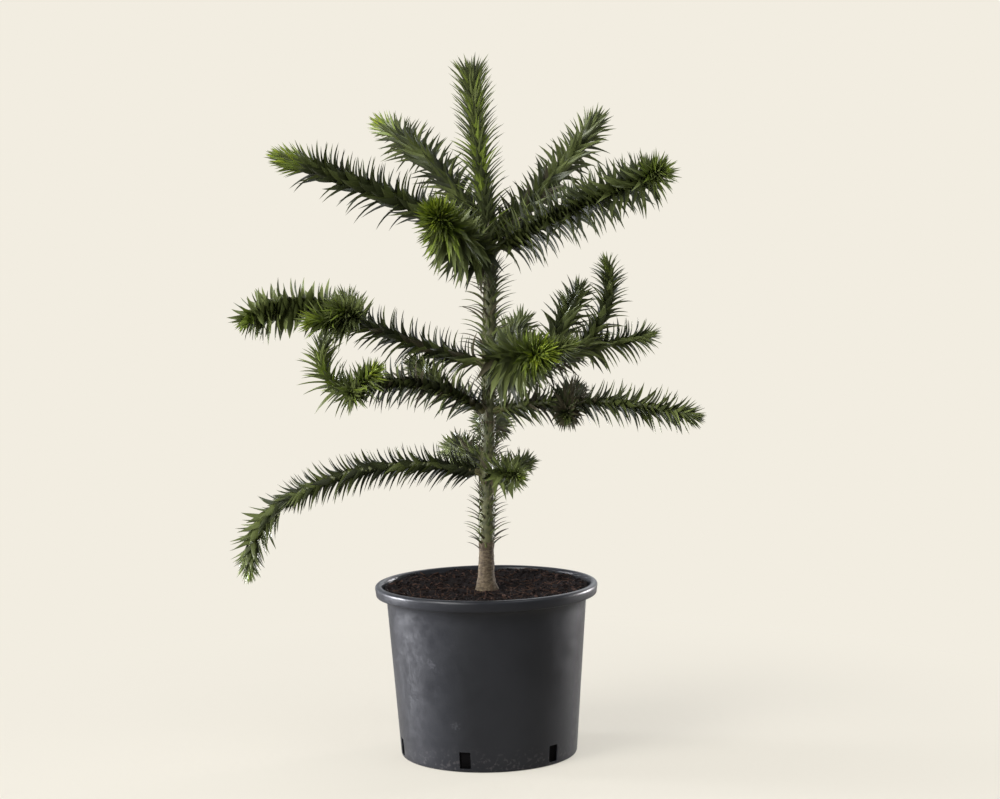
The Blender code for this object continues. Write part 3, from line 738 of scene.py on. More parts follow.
def build_soil():
    foot = FLOOR + SOIL_CLEAR
    low_radius = wall_radius(foot) - WALL - SOIL_CLEAR
    side_radius = WALL_TOP_RADIUS - WALL - SOIL_CLEAR
    side_top = POT_HEIGHT - LIP_HEIGHT - SOIL_CLEAR
    outline = [(SOIL_RADIUS * index / SOIL_RINGS, SOIL_HEIGHT) for index in range(SOIL_RINGS + 1)]
    for index in range(SOIL_SIDE_RINGS + 1):
        down = index / SOIL_SIDE_RINGS
        outline.append((side_radius + (low_radius - side_radius) * down, side_top + (foot - side_top) * down))
    outline.append((0, foot))
    shape = turned(outline, SOIL_STEPS)
    for corner in shape.verts:
        if corner.co.z > SOIL_HEIGHT - SOIL_SKIN:
            corner.co.z = rough_soil_height(corner.co.x, corner.co.y)
    return mesh_of("soil_body", shape, ALL_SMOOTH)


print("soil below the lip, in mm:", round((POT_HEIGHT - soil_height(WALL_TOP_RADIUS, 0)) * 1000, 1))

# %% [markdown]
# Peat is nearly black where it is damp and redder where fibres and bark dust dry out. The finish mixes
# those by noise at several sizes and has no gloss. Behind the slots, where no light reaches, it is painted
# black as painted shade.

# %% Soil finishes
PAINTED_SHADE_HEIGHTS = (0.13, 0.15)  # painted shade: the soil is painted black below the first height, where the slots show it, and has its own colour above the second


def peat(name, dark, pale, dry):
    finish = new_finish(name, dark, 0.95, 0.08)
    colour = mix(finish, share(finish, grain(finish, 0.004, 6), 0.42, 0.62), dark, pale)
    colour = mix(finish, share(finish, grain(finish, 0.0016, 4), 0.62, 0.74), colour, dry)
    wire(finish, colour, shader_input(finish, "Base Color"))
    raise_relief(finish, [grain(finish, 0.0012, 5)], 0.0008)
    return finish


def paint_shade_below(finish):
    """The same colour, but painted nearly black low down, where the slots show the soil: painted shade."""
    before = shader_input(finish, "Base Color").links[0].from_socket
    painted_shade = share(finish, height_in(finish), *PAINTED_SHADE_HEIGHTS, 1, 0)
    wire(finish, mix(finish, painted_shade, before, (8, 7, 8)), shader_input(finish, "Base Color"))


soil_finish = peat("damp_peat", (19, 15, 16), (31, 26, 25), (51, 43, 39))
# painted shade: the soil behind the slots is painted black
paint_shade_below(soil_finish)
add_piece("soil_body", build_soil(), soil_finish, ["soil"])

# %% [markdown]
# Each crumb takes its own size, turn and lean, and its corners are pushed in and out a little, so that no
# two look alike. It sits in the soil by the share of its height that it sinks.

# %% Copies of one small shape, joined
STREWN_REACH = 0.1030
STREWN_HOLE = 0.02  # the share of the soil's disc, at its middle, that stays clear for the trunk
STREWN_LEAN = 0.35
WOBBLE = (0.75, 1.25)


def points_and_faces(shape):
    """A bmesh's corners as an array, and its faces as lists of corner numbers."""
    shape.verts.index_update()
    points = np.array([corner.co[:] for corner in shape.verts])
    faces = [[corner.index for corner in face.verts] for face in shape.faces]
    shape.free()
    return points, faces


def joined(name, points, faces, crisp):
    """One mesh of many copies. points has a row of corners for each copy, and faces are of one copy."""
    copies, corners, _ = points.shape
    firsts = np.arange(copies)[:, None] * corners
    groups = [(np.array(face) + firsts).tolist() for face in faces]
    mesh = bpy.data.meshes.new(name)
    mesh.from_pydata(points.reshape(-1, 3).tolist(), [], [face for group in groups for face in group])
    mesh.update()
    mesh.shade_smooth()
    mesh.set_sharp_from_angle(angle=math.radians(crisp))
    return mesh


def strewn(name, shape, count, sizes, sink):
    """Copies of a small shape lying on the soil. sizes are the least and most along X, Y and Z."""
    chance = random.Random(name)
    points, faces = points_and_faces(shape)
    copies = []
    for _ in range(count):
        radius = STREWN_REACH * math.sqrt(chance.uniform(STREWN_HOLE, 1))
        turn = chance.uniform(0, math.tau)
        x, y = radius * math.cos(turn), radius * math.sin(turn)
        size = [chance.uniform(*pair) for pair in zip(*sizes)]
        lie = Matrix.Rotation(chance.uniform(0, math.tau), 3, "Z")
        for axis in ("X", "Y"):
            lie = lie @ Matrix.Rotation(chance.gauss(0, STREWN_LEAN), 3, axis)
        wobble = np.array([[chance.uniform(*WOBBLE)] for _ in points])
        placed = (points * wobble * size) @ np.array(lie.transposed())
        height = rough_soil_height(x, y) + size[2] * (1 - sink)
        copies.append(placed + (x, y, height))
    return joined(name, np.array(copies), faces, CRISP)


# %% [markdown]
# Two small shapes are enough: a rough ball for the crumbs, and a slip that makes chips of bark when it is
# short and fibres when it is long and thin.

# %% Crumbs, chips and fibres on the soil
CHIP_PINCH = 0.45
CHIP_CURL = 0.6


def crumb_shape():
    shape = bmesh.new()
    bmesh.ops.create_icosphere(shape, subdivisions=1, radius=1)
    return shape


def chip_shape():
    """A slip of bark: a thin slab, pinched and curled up at both ends."""
    shape = bmesh.new()
    bmesh.ops.create_cube(shape, size=2)
    long_edges = [edge for edge in shape.edges if abs(edge.verts[0].co.x - edge.verts[1].co.x) > 1]
    bmesh.ops.subdivide_edges(shape, edges=long_edges, cuts=2)
    for corner in shape.verts:
        corner.co.y *= 1 - CHIP_PINCH * corner.co.x ** 2
        corner.co.z += CHIP_CURL * corner.co.x ** 2
    return shape


CRUMBS = (
    ("crumbs_dark", crumb_shape, 900, ((0.0006, 0.0006, 0.0005), (0.0022, 0.0020, 0.0014)), 0.5,
     ("dark_crumb", (21, 17, 16), (30, 24, 23), (43, 34, 30))),
    ("crumbs_brown", crumb_shape, 420, ((0.0005, 0.0005, 0.0004), (0.0018, 0.0016, 0.0011)), 0.45,
     ("brown_crumb", (36, 29, 27), (46, 37, 33), (62, 50, 44))),
    ("bark_chips", chip_shape, 150, ((0.0018, 0.0007, 0.0002), (0.0050, 0.0018, 0.0006)), 0.2,
     ("bark_chip", (48, 37, 33), (62, 47, 42), (84, 67, 58))),
    ("peat_fibres", chip_shape, 240, ((0.0030, 0.00015, 0.00012), (0.0085, 0.00030, 0.00025)), 0.0,
     ("peat_fibre", (62, 47, 39), (78, 58, 48), (100, 80, 67))),
)
for name, shape_of, count, sizes, sink, tones in CRUMBS:
    add_piece(name, strewn(name, shape_of(), count, sizes, sink), peat(*tones), ["soil"])

# %% [markdown]
# ## Limbs grown ring by ring
#
# A limb is a ring of corners extruded along its centre line. Extruding keeps each corner's place round the
# limb in a small layer of its own, so every new ring can be laid out by angle, and a relief can be added
# by making the radius depend on the angle and the distance. Both ends are then closed.

# %% Grow a limb
def grown(course, stations, radius_at, sides):
    """A closed limb. radius_at gives its radius from a distance and an angle round it."""
    shape = bmesh.new()
    turn_of = shape.verts.layers.float.new("turn")
    bmesh.ops.create_circle(shape, segments=sides, radius=1)
    for corner in shape.verts:
        corner[turn_of] = math.atan2(corner.co.y, corner.co.x)
    ring = shape.verts[:]
    edges = shape.edges[:]
    for index, s in enumerate(stations):
        if index:
            fresh = bmesh.ops.extrude_edge_only(shape, edges=edges)["geom"]
            ring = [part for part in fresh if isinstance(part, bmesh.types.BMVert)]
            edges = [part for part in fresh if isinstance(part, bmesh.types.BMEdge)]
        centre = course.point(s)
        for corner in ring:
            turn = corner[turn_of]
            corner.co = centre + course.away(s, turn) * radius_at(s, turn)
    bmesh.ops.holes_fill(shape, edges=[edge for edge in shape.edges if edge.is_boundary], sides=0)
    return shape


def every(first, last, pace):
    """Evenly spaced distances from first to last, about a pace apart."""
    count = max(1, round((last - first) / pace))
    return [first + (last - first) * index / count for index in range(count + 1)]


def gather(limb, whole):
    """Adds a limb to a bmesh that holds several, and frees the limb."""
    bmesh.ops.recalc_face_normals(limb, faces=limb.faces)
    passing = bpy.data.meshes.new("passing")
    limb.to_mesh(passing)
    limb.free()
    whole.from_mesh(passing)
    bpy.data.meshes.remove(passing)


# %% [markdown]
# ## Bark on the trunk and the boughs
#
# A young monkey puzzle has thin grey-brown bark, still marked by the diamond scars of the leaves that it
# has shed and by a ring at each year's growth. Two crossing families of spirals give the diamonds: where
# both waves are high there is a scar. Real relief is better here than a painted bump, because the trunk
# shows against the pale ground.

# %% Trunk with its scars
SCAR_SPIRALS = (5, 8)
SCAR_PACE = 0.0085
SCAR_DEPTH = 0.00045
YEAR_RINGS = (0.047, 0.116, 0.172, 0.182, 0.232, 0.346)
RING_WIDTH = 0.0035
RING_DEPTH = 0.0007
BARK_GRAIN = ((0.006, 0.00035), (0.0024, 0.00022))
GRAIN_STRETCH = 0.6
BUTTRESS = 0.08  # how far the foot of the trunk swells and sinks round it, as a share of its radius
BUTTRESS_HEIGHT = 0.012
BUTTRESSES = 3
BUTTRESS_TURN = 0.5
END_FADE = 0.004  # the relief dies away this close to both ends
TRUNK_PACE = 0.0014
TRUNK_SIDES = 36
TRUNK_END = 0.001
GREEN_BARK = (0.30, 0.50)  # the heights between which the bark turns green


def diamonds(s, turn):
    """The leaf-scar pattern: 1 at the middle of a scar, and 0 between scars."""
    few, many = SCAR_SPIRALS
    first = math.cos(few * turn + math.tau * s / SCAR_PACE)
    second = math.cos(many * turn - math.tau * s / SCAR_PACE)
    return max(0, first) * max(0, second)


def bark_relief(s, turn, radius):
    """How far the bark stands out from the smooth radius."""
    relief = SCAR_DEPTH * diamonds(s, turn)
    relief += RING_DEPTH * sum(math.exp(-(((s - ring) / RING_WIDTH) ** 2)) for ring in YEAR_RINGS)
    spot = Vector((math.cos(turn) * radius, math.sin(turn) * radius, s * GRAIN_STRETCH))
    for size, depth in BARK_GRAIN:
        relief += depth * noise.noise(spot / size)
    return relief


def trunk_radius(s, turn):
    swell = BUTTRESS * max(0, 1 - s / BUTTRESS_HEIGHT)
    radius = blend(TRUNK_RADII, s) * (1 + swell * math.sin(BUTTRESSES * turn + BUTTRESS_TURN))
    fade = min(1, s / END_FADE, (TRUNK_LENGTH - s) / END_FADE)
    return radius + fade * bark_relief(s, turn, radius)


def bark(name, dark, pale, scar, green):
    """Dull bark: grey-brown with darker cracks and a green cast where it is youngest."""
    finish = new_finish(name, dark, 0.85, 0.25)
    colour = mix(finish, share(finish, grain(finish, 0.004, 5, (1, 1, 0.5)), 0.38, 0.64), dark, pale)
    colour = mix(finish, share(finish, grain(finish, 0.0016, 4), 0.6, 0.7), colour, scar)
    colour = mix(finish, share(finish, height_in(finish), *GREEN_BARK), colour, green)
    wire(finish, colour, shader_input(finish, "Base Color"))
    raise_relief(finish, [grain(finish, 0.0009, 5)], 0.0004)
    return finish


trunk_stations = [0] + every(TRUNK_END, TRUNK_LENGTH - TRUNK_END, TRUNK_PACE) + [TRUNK_LENGTH]
trunk_shape = grown(trunk_line, trunk_stations, trunk_radius, TRUNK_SIDES)
trunk_bark = bark("trunk_bark", (68, 58, 46), (98, 86, 68), (48, 39, 32), (80, 82, 52))
trunk_mesh = mesh_of("trunk_with_bark", trunk_shape, SOFT_CRISP)
add_piece("trunk_with_bark", trunk_mesh, trunk_bark, ["trunk"])

# %% [markdown]
# The boughs are the first bare stretch of each side branch. They are younger than the trunk, thinner in
# the bark and greener, and each has a collar where it leaves the trunk.

# %% Boughs
COLLAR = 0.0016
COLLAR_REACH = 0.011
BOUGH_SLIMMER = 0.9  # the bark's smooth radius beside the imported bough's, which leaves room for the scars
BOUGH_SCARS = 0.6
BOUGH_PACE = 0.0012
BOUGH_SIDES = 20


def bough_radius(s, turn):
    radius = blend(BOUGH_RADII, s) * BOUGH_SLIMMER + COLLAR * max(0, 1 - s / COLLAR_REACH) ** 2
    return radius + BOUGH_SCARS * SCAR_DEPTH * diamonds(s, turn)


bough_shapes = bmesh.new()
boughs = [name for name, branch in BRANCHES.items() if branch.parent == "trunk"]
for name in boughs:
    gather(grown(courses[name], every(0, BOUGH_LENGTH, BOUGH_PACE), bough_radius, BOUGH_SIDES), bough_shapes)
add_piece("boughs_with_bark", mesh_of("boughs_with_bark", bough_shapes, SOFT_CRISP),
          bark("bough_bark", (70, 66, 44), (98, 94, 62), (56, 46, 34), (84, 90, 50)),
          ["bough_" + name for name in boughs])

# %% [markdown]
# ## Habits
#
# No two branches of a real tree carry their leaves quite alike. Each could have a rule of its own, but one
# rule with a row of numbers for each branch is shorter and easier to compare. That row is its habit. Most
# shoots share the common one, and the others name only what differs:
#
# - width is a leaf's width beside its length, and young is the share of it that the first leaves have.
# - brush is how far back the short young leaves at the tip go, and shut is how far those lean from the stem.
# - full is the share of its length that the first leaf has, and crowding is how much closer leaves sit.
# - start and end are the shares of its angle at which a leaf sets out and ends.
# - lift is how strongly leaves turn up to the light, and droop how strongly those below the parting hang.
#   The parting is a height round the branch, from 1, its top, to -1. long_below lengthens the lowest leaves.
# - roll is a leaf's stray roll, and hug is how far out it still hugs the stem.
# - sparse and flat are the shares of leaves that the lower side and the two sides are short of, and beside
#   is how much closer to the stem, in degrees, the leaves at the two sides keep.
# - waist is how much of its width a leaf loses off the stem.

# %% Habits of growth
Habit = namedtuple("Habit", "width young brush shut full crowding start end lift parting droop long_below "
                            "roll hug sparse flat beside waist")
COMMON = Habit(width=0.28, young=0.80, brush=0.010, shut=46, full=0.55, crowding=1.15, start=0.84, end=1.20,
               lift=0.35, parting=-0.78, droop=0.32, long_below=0.14, roll=24, hug=0.15, sparse=0, flat=0,
               beside=18, waist=0)
LONG_LIMB = COMMON._replace(width=0.25, shut=28, full=0.60, crowding=1.5, start=0.76, end=1.34, lift=0.7,
                            roll=16)
OLD_STEM = COMMON._replace(width=0.20, crowding=1, start=0.72, end=1.36, lift=0, roll=8, hug=0.25, waist=0.3)
FRONT = COMMON._replace(width=0.25, young=0.58, brush=0.050, shut=50, full=0.85, crowding=2.6, lift=0,
                        parting=-0.3, droop=0.5, long_below=0.45, roll=45)
FORWARD = COMMON._replace(start=0.70, end=0.96, lift=0.4, parting=-0.15, droop=0.5, flat=0.6)
HABITS = {
    "foliage_leader": COMMON._replace(width=0.26, start=0.80, end=1.22, lift=0, roll=9, hug=0.32, waist=0.6),
    "top_left": LONG_LIMB._replace(brush=0.026, shut=36, full=0.75, crowding=1.5, width=0.34, lift=0.8,
                                   sparse=0.45),
    "top_back_left": LONG_LIMB._replace(brush=0.022, shut=38, full=0.72, crowding=1.2, width=0.24, end=1.42,
                                        lift=0.3, sparse=0.5),
    "top_back_right": LONG_LIMB._replace(brush=0.024, shut=50, full=0.84, crowding=0.75, width=0.28, end=1.38,
                                         lift=0.3),
    "top_right": LONG_LIMB._replace(brush=0.012, shut=48, full=0.42, crowding=2.2, width=0.24, lift=1.1,
                                    parting=-0.5, droop=0.7, beside=-28),
    "top_front": FRONT,
    "upper_front": FRONT,
    "upper_front_twig_1": FRONT._replace(brush=0.020, crowding=1.4, full=0.55, long_below=0.14),
    "upper_left": COMMON._replace(width=0.25, start=0.80, end=1.26),
    "upper_left_twig_1": COMMON._replace(full=0.75, brush=0.014, width=0.22, crowding=1.3, lift=0),
    "upper_left_twig_3": FRONT._replace(brush=0.018, crowding=1.5, long_below=0.14),
    "upper_left_tip": COMMON._replace(width=0.50, brush=0.008, roll=60, crowding=0.95, lift=0.3, parting=-0.1,
                                      droop=0.4, beside=0),
    "middle_left": COMMON._replace(start=0.80, end=1.26),
    "middle_left_tip": COMMON._replace(width=0.22, lift=0),
    "middle_right": FORWARD._replace(crowding=1.4),
    "middle_right_twig_1": FORWARD._replace(crowding=1.6, flat=0),
    "low_left": FORWARD._replace(width=0.31, crowding=2.2, flat=0.75),
    "low_left_tip": FORWARD._replace(width=0.36, brush=0.014, shut=46, crowding=1.2, lift=0, droop=0,
                                     flat=0.2),
    "upper_right_tip": COMMON._replace(lift=0.4, parting=-0.15, droop=0.4, flat=0.4),
    "upper_right_riser": COMMON._replace(start=0.72, end=1.40, roll=12, lift=0.1),
    "foliage_upper_stem": OLD_STEM._replace(width=0.15),
    "foliage_middle_stem": OLD_STEM,
    "foliage_lower_stem": OLD_STEM._replace(end=1.30, roll=10),
    "foliage_foot": OLD_STEM._replace(width=0.19, end=1.25, roll=12),
}
PLAIN_TIP = 0.40  # a first leaf of this share needs no room, and a longer one starts further back


def habit_of(name):
    return HABITS.get(name, COMMON)


def tip_of(name, length, leaf):
    """How far along a stem its last leaf sits, so that the brush ends where the plan says."""
    return length - max(0, habit_of(name).full - PLAIN_TIP) * leaf


print("habits:", len(HABITS) + 1)

# %% [markdown]
# ## Shoots and their green stems
#
# Every stretch that carries leaves is a shoot: a branch, a side twig, or a leafy stretch of the trunk. It
# knows its centre line, where it starts and ends, its radius, its full leaf's length and how much further
# on its real tip is. A branch that runs on past a bend is younger there, so its leaves are coloured by
# the distance to the real tip.

# %% List the shoots
STEM_RADIUS = 0.0042
STEM_TIP_RADIUS = 0.0030
TIP_TAPER = 0.010
TIP_RADIUS = 0.0011
STEM_CORE = 0.78  # the green stem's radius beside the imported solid's, to leave room for the leaf bases
SKIN = ((0.040, -0.0004), (0.046, 0.0002), (0.070, 0.0011))  # how far the leafy skin stands off the bark
LEAFY_FROM = 0.011  # how far out from the trunk's middle a branch's first leaves sit
Shoot = namedtuple("Shoot", "name mass course first last radius leaf beyond")


def stem_radius(length, runs_on=False):
    """A stem's radius: a slow taper, then a quick one at the tip."""
    tip = (STEM_RADIUS, STEM_RADIUS) if runs_on else (STEM_TIP_RADIUS, TIP_RADIUS)
    stations = ((0, STEM_RADIUS), (max(length - TIP_TAPER, length / 2), tip[0]), (length, tip[1]))
    return lambda s, turn=0: STEM_CORE * blend(stations, s)


def skin_radius(s, turn=0):
    return blend(TRUNK_RADII, s) + blend(SKIN, s)


def length_beyond(name):
    """How far a branch's tip runs on past its own end."""
    return sum(other.length for other in BRANCHES.values() if other.parent == name and other.start == 1)


shoots = []
for name, branch in BRANCHES.items():
    beyond = length_beyond(name)
    start = LEAFY_FROM if branch.parent == "trunk" else 0
    last = branch.length if beyond else tip_of(name, branch.length, branch.leaf)
    mass = "branch_" + name
    radius = stem_radius(last, beyond > 0)
    shoots.append(Shoot(name, mass, courses[name], start, last, radius, branch.leaf, beyond))
    for number, twig in enumerate(TWIGS.get(name, ()), 1):
        own_name = f"{name}_twig_{number}"
        last = tip_of(own_name, twig.length, twig.leaf)
        shoots.append(Shoot(own_name, mass, course_of(twig), 0, last, stem_radius(last), twig.leaf, 0))
for name, (first, last, leaf) in TRUNK_FOLIAGE.items():
    shoots.append(Shoot(name, name, trunk_line, first, last, skin_radius, leaf, TRUNK_LENGTH - last))
print("shoots:", len(shoots))

# %% [markdown]
# The stems themselves are green tubes, joined into three pieces: the side shoots, the leader, and the skin
# of the leafy trunk. They barely show between the leaf bases, so their finish is simple.

# %% Build the stems
STEM_PACE = 0.003
SIDE_STEM_SIDES = 10
TRUNK_STEM_SIDES = 16


def green_stem(name, deep, fresh):
    finish = new_finish(name, deep, 0.55, 0.4)
    colour = mix(finish, share(finish, grain(finish, 0.006, 4), 0.4, 0.62), deep, fresh)
    wire(finish, colour, shader_input(finish, "Base Color"))
    raise_relief(finish, [grain(finish, 0.0015, 4)], 0.0003)
    return finish


def build_stems(name, members, sides, finish):
    """The stems of these shoots, joined in one piece."""
    whole = bmesh.new()
    for shoot in members:
        first = BOUGH_LENGTH if shoot.first == LEAFY_FROM else shoot.first
        gather(grown(shoot.course, every(first, shoot.last, STEM_PACE), shoot.radius, sides), whole)
    add_piece(name, mesh_of(name, whole), finish, {shoot.mass for shoot in members})


side_shoots = [shoot for shoot in shoots if shoot.course is not trunk_line]
trunk_shoots = [shoot for shoot in shoots if shoot.course is trunk_line]
build_stems("side_stems", side_shoots, SIDE_STEM_SIDES,
            green_stem("side_stem_green", (66, 70, 42), (84, 88, 52)))
build_stems("leader_stem", trunk_shoots[:1], TRUNK_STEM_SIDES,
            green_stem("leader_green", (58, 76, 32), (78, 98, 42)))
build_stems("trunk_skin", trunk_shoots[1:], TRUNK_STEM_SIDES,
            green_stem("trunk_skin_green", (66, 68, 42), (90, 90, 58)))

# %% [markdown]
# ## The rule that leaves follow
#
# Each leaf sits a golden angle round from the last, crowded at the tip and further apart on old wood. A
# brush of short closed leaves ends each shoot, and behind it they open quickly to their full length and
# angle. On the leader that change is slow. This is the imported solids' own rule, with several finer leaves
# in place of one. Distances are measured back from the tip.

# %% How leaves spread out and open behind the tip
TIP_SPACING = 0.00024
BRUSH_SPACING = 0.00048
OPEN_SPACING = 0.00108
SPREAD_OUT = 0.035  # how far past the brush the leaves are at their widest spacing
BUD_ANGLE = 6
BRUSH_ANGLES = ((0.15, 0.4), (0.35, 0.62), (1, 1))  # shares of the brush, against shares of its last angle
OPEN_ANGLES = ((0.008, 64), (0.03, 70))  # distances past the brush, against angles
FULL_GROWN = 0.03  # how far past the brush a leaf has its full length
LEADER_ANGLES = ((0, 3), (0.0015, 18), (0.003, 30), (0.006, 37), (0.030, 42), (0.060, 47), (0.110, 56))
LEADER_SPACING = ((0, 0.00016), (0.010, 0.00024), (0.020, 0.00032), (0.040, 0.00046), (0.110, 0.00085))
LEADER_GROWTH = ((0, 0.74), (0.003, 0.94), (0.008, 1))
FIRST_LEAF = 0.003
LAST_LEAF = 0.0004


def spacing(left, habit):
    """The gap between two leaves. A crowded shoot is crowded most in its brush."""
    crowding = habit.crowding
    stations = ((0, TIP_SPACING / crowding), (habit.brush, BRUSH_SPACING / crowding),
                (habit.brush + SPREAD_OUT, OPEN_SPACING / math.sqrt(crowding)))
    return blend(stations, left)


def angle_at(left, habit):
    """The angle between a leaf and its stem, from closed at the tip to open behind the brush."""
    stations = [(0, BUD_ANGLE)]
    stations += [(habit.brush * way, habit.shut * part) for way, part in BRUSH_ANGLES]
    stations += [(habit.brush + past, angle) for past, angle in OPEN_ANGLES]
    return blend(stations, left)


def growth_at(left, habit):
    """A leaf's length beside a full leaf's."""
    half_grown = (1 + habit.full) / 2
    return blend(((0, habit.full), (habit.brush, half_grown), (habit.brush + FULL_GROWN, 1)), left)


def leaf_distances(shoot, habit, leader):
    """Distances along a stem at which leaves sit, close together at the tip."""
    s = shoot.last - LAST_LEAF
    while s > shoot.first + FIRST_LEAF:
        yield s
        left = shoot.last - s
        s -= blend(LEADER_SPACING, left) if leader else spacing(left, habit)


print("gap behind a common brush, in mm:", round(spacing(COMMON.brush, COMMON) * 1000, 2))

# %% [markdown]
# A leaf also depends on the side of the branch that it is on. On top it is shorter and leans out more,
# underneath it is longer, and below the parting it hangs. Some are missing where the habit says so. All that
# counts only where the leaves have opened, from the back of the brush on. Chance is seeded by the shoot's
# name and its ends, so that the plant grows the same way every time.

# %% Seats for the leaves
LEAF_TURN = 137.5
UPPER_LEAN = 9
UPPER_SHORTER = 0.14
STRAY_TURN = 15
LEADER_STRAY_TURN = 7
STRAY_ANGLE = 9
STRAY_LENGTH = 0.14
FULLER = 1.08
BROADEN = 0.045  # how far past the brush a leaf has its full width
OPEN_FROM = 0.6  # the share of the brush past which leaves begin to count as open
OPEN_REACH = 0.02  # how much further back they count in full
LOWER_SIDE = 0.5  # how far down round the stem the lower side starts
SIDE_BAND = 0.8  # how far up and down round the stem the two sides reach
SIDE_EDGE = 0.3  # how softly those end
PARTING_WIDTH = 0.35
STRAY_PARTING = 0.6
SPARSE_CLOSED = 16  # how much closer to the stem, in degrees, the leaves of a sparse lower side keep
SPARSE_SLIMMER = 0.6
ROOT_DEPTH = 0.8  # where in the stem a leaf's foot sits, as a share of the stem's radius
CLASP = 0.0040  # how far back along the stem a leaf's base starts
CLOSED = 9
WAIST_FROM = 0.020  # how far back from the tip the waist is in full
Leaf = namedtuple("Leaf", "root along away length width closed opened tip sweep roll hug waist")
Seat = namedtuple("Seat", "leaf age")


def sweep_of(along, away, habit, chance):
    """How a leaf curves: above the parting it turns up to the light, and below the parting it hangs."""
    parting = habit.parting + chance.uniform(-STRAY_PARTING, STRAY_PARTING) * (1 + habit.parting)
    upper = min(1, max(0, (away.z - parting) / PARTING_WIDTH + 0.5))
    return (habit.lift * upper - habit.droop * (1 - upper)) * (1 - along.z ** 2)


def seats_on(shoot):
    """The leaves along one shoot."""
    chance = random.Random(f"{shoot.name} {shoot.first:.3f} {shoot.last:.3f}")
    leader = shoot.mass == "foliage_leader"
    habit = habit_of(shoot.name)
    stray = LEADER_STRAY_TURN if leader else STRAY_TURN
    for index, s in enumerate(leaf_distances(shoot, habit, leader)):
        left = shoot.last - s
        turn = math.radians(index * LEAF_TURN + chance.uniform(-stray, stray))
        along = shoot.course.heading(s)
        away = shoot.course.away(s, turn)
        opened = min(1, max(0, left - habit.brush * OPEN_FROM) / OPEN_REACH)
        below = opened * habit.sparse * min(1, max(0, -away.z - LOWER_SIDE) / SIDE_EDGE)
        beside = opened * habit.flat * min(1, max(0, SIDE_BAND - abs(away.z)) / SIDE_EDGE)
        if chance.random() < max(below, beside):
            continue
        angle = blend(LEADER_ANGLES, left) if leader else angle_at(left, habit)
        angle += UPPER_LEAN * away.z * opened + chance.uniform(-STRAY_ANGLE, STRAY_ANGLE)
        if shoot.course is not trunk_line:
            angle -= SPARSE_CLOSED * below + habit.beside * (1 - abs(away.z)) * opened
        grown_by = blend(LEADER_GROWTH, left) if leader else growth_at(left, habit)
        length = shoot.leaf * FULLER * grown_by
        length *= 1 + (habit.long_below * max(0, -away.z) - UPPER_SHORTER * max(0, away.z)) * opened
        length *= 1 + chance.uniform(-STRAY_LENGTH, STRAY_LENGTH)
        root = shoot.course.point(s - CLASP * grown_by) + away * (shoot.radius(s) * ROOT_DEPTH)
        width = length * habit.width * (1 - SPARSE_SLIMMER * below)
        width *= blend(((0, habit.young), (habit.brush + BROADEN, 1)), left)
        leaf = Leaf(root, along, away, length, width, CLOSED, angle * habit.start, angle * habit.end,
                    sweep_of(along, away, habit, chance) * opened, chance.gauss(0, habit.roll), habit.hug,
                    habit.waist * min(1, left / WAIST_FROM))
        yield Seat(leaf, left + shoot.beyond)


print("leaves on the first branch:", len(list(seats_on(shoots[0]))))

# %% [markdown]
# A leaf that would run into another shoot's stem is left out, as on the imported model. Points along every
# other centre line go in a search tree, and the middle and the point of each leaf are looked up in it.

# %% Leave out leaves that would cross a stem
STEM_ROOM = 0.0010
SAMPLE_PACE = 0.003
NEAR_STEM = STEM_RADIUS * 3
SWEEP_SHARE = 0.3  # how much of its sweep moves the line from a leaf's foot to its point
TESTED = (0.5, 1.0)  # the shares of a leaf's length that are looked up


def stem_samples():
    """Points along each stem as (owner, point, radius)."""
    for shoot in side_shoots:
        for s in every(0, shoot.last, SAMPLE_PACE):
            yield shoot.course, shoot.course.point(s), shoot.radius(s)
    for s in every(0, TRUNK_LENGTH, SAMPLE_PACE):
        yield trunk_line, trunk_line.point(s), blend(TRUNK_RADII, s)


samples = list(stem_samples())
stem_tree = KDTree(len(samples))
for index, (_, point, _) in enumerate(samples):
    stem_tree.insert(point, index)
stem_tree.balance()


def crosses(shoot, leaf):
    """Whether a leaf's middle or point lies inside another stem."""
    lean = math.radians(leaf.opened)
    out = leaf.along * math.cos(lean) + leaf.away * math.sin(lean) + Vector((0, 0, leaf.sweep * SWEEP_SHARE))
    out.normalize()
    for part in TESTED:
        point = leaf.root + out * (leaf.length * part)
        for _, index, distance in stem_tree.find_range(point, NEAR_STEM):
            owner, _, radius = samples[index]
            if owner is not shoot.course and distance < radius + STEM_ROOM:
                return True
    return False


print("points along the stems:", len(samples))

# %% [markdown]
# ## The shape of a leaf
#
# A leaf is a stiff blade about 30 mm long. It clasps the stem at its foot, swings outward, and narrows to
# a sharp point that curves back a little. Seven rings of four corners and a point are enough: the margins,
# a hollow upper face and a keel below. All leaves are worked out together as arrays, one row a leaf.

# %% Leaves as arrays
STATIONS = np.array([0.0, 0.10, 0.20, 0.32, 0.46, 0.62, 0.80, 1.0])
WIDTHS = np.array([0.84, 1.0, 0.95, 0.81, 0.62, 0.42, 0.21, 0.0])
CLASP_HOLLOW = (0.40, 0.10)  # how hollow the upper face is where it clasps the stem, and further out
KEEL = 0.040
KEEL_TIP = 0.35  # the share of its depth that the keel keeps toward the point
RIDGE = 0.05  # how far the middle of the upper face stands up, as a share of the keel
SWEEP_CURVE = 1.3
WAIST_START = 0.1
WAIST_REACH = 0.25
LEAF_CRISP = 58
RING = 4
POINT = RING * (len(STATIONS) - 1)  # the number of the corner at a leaf's point
LEAF_FACES = [
    (RING * k + i, RING * k + (i + 1) % RING, RING * (k + 1) + (i + 1) % RING, RING * (k + 1) + i)
    for k in range(len(STATIONS) - 2) for i in range(RING)
]
LEAF_FACES += [(POINT - RING + i, POINT - RING + (i + 1) % RING, POINT) for i in range(RING)]
LEAF_FACES.append((3, 2, 1, 0))


def unit(vectors):
    return vectors / np.linalg.norm(vectors, axis=-1, keepdims=True)


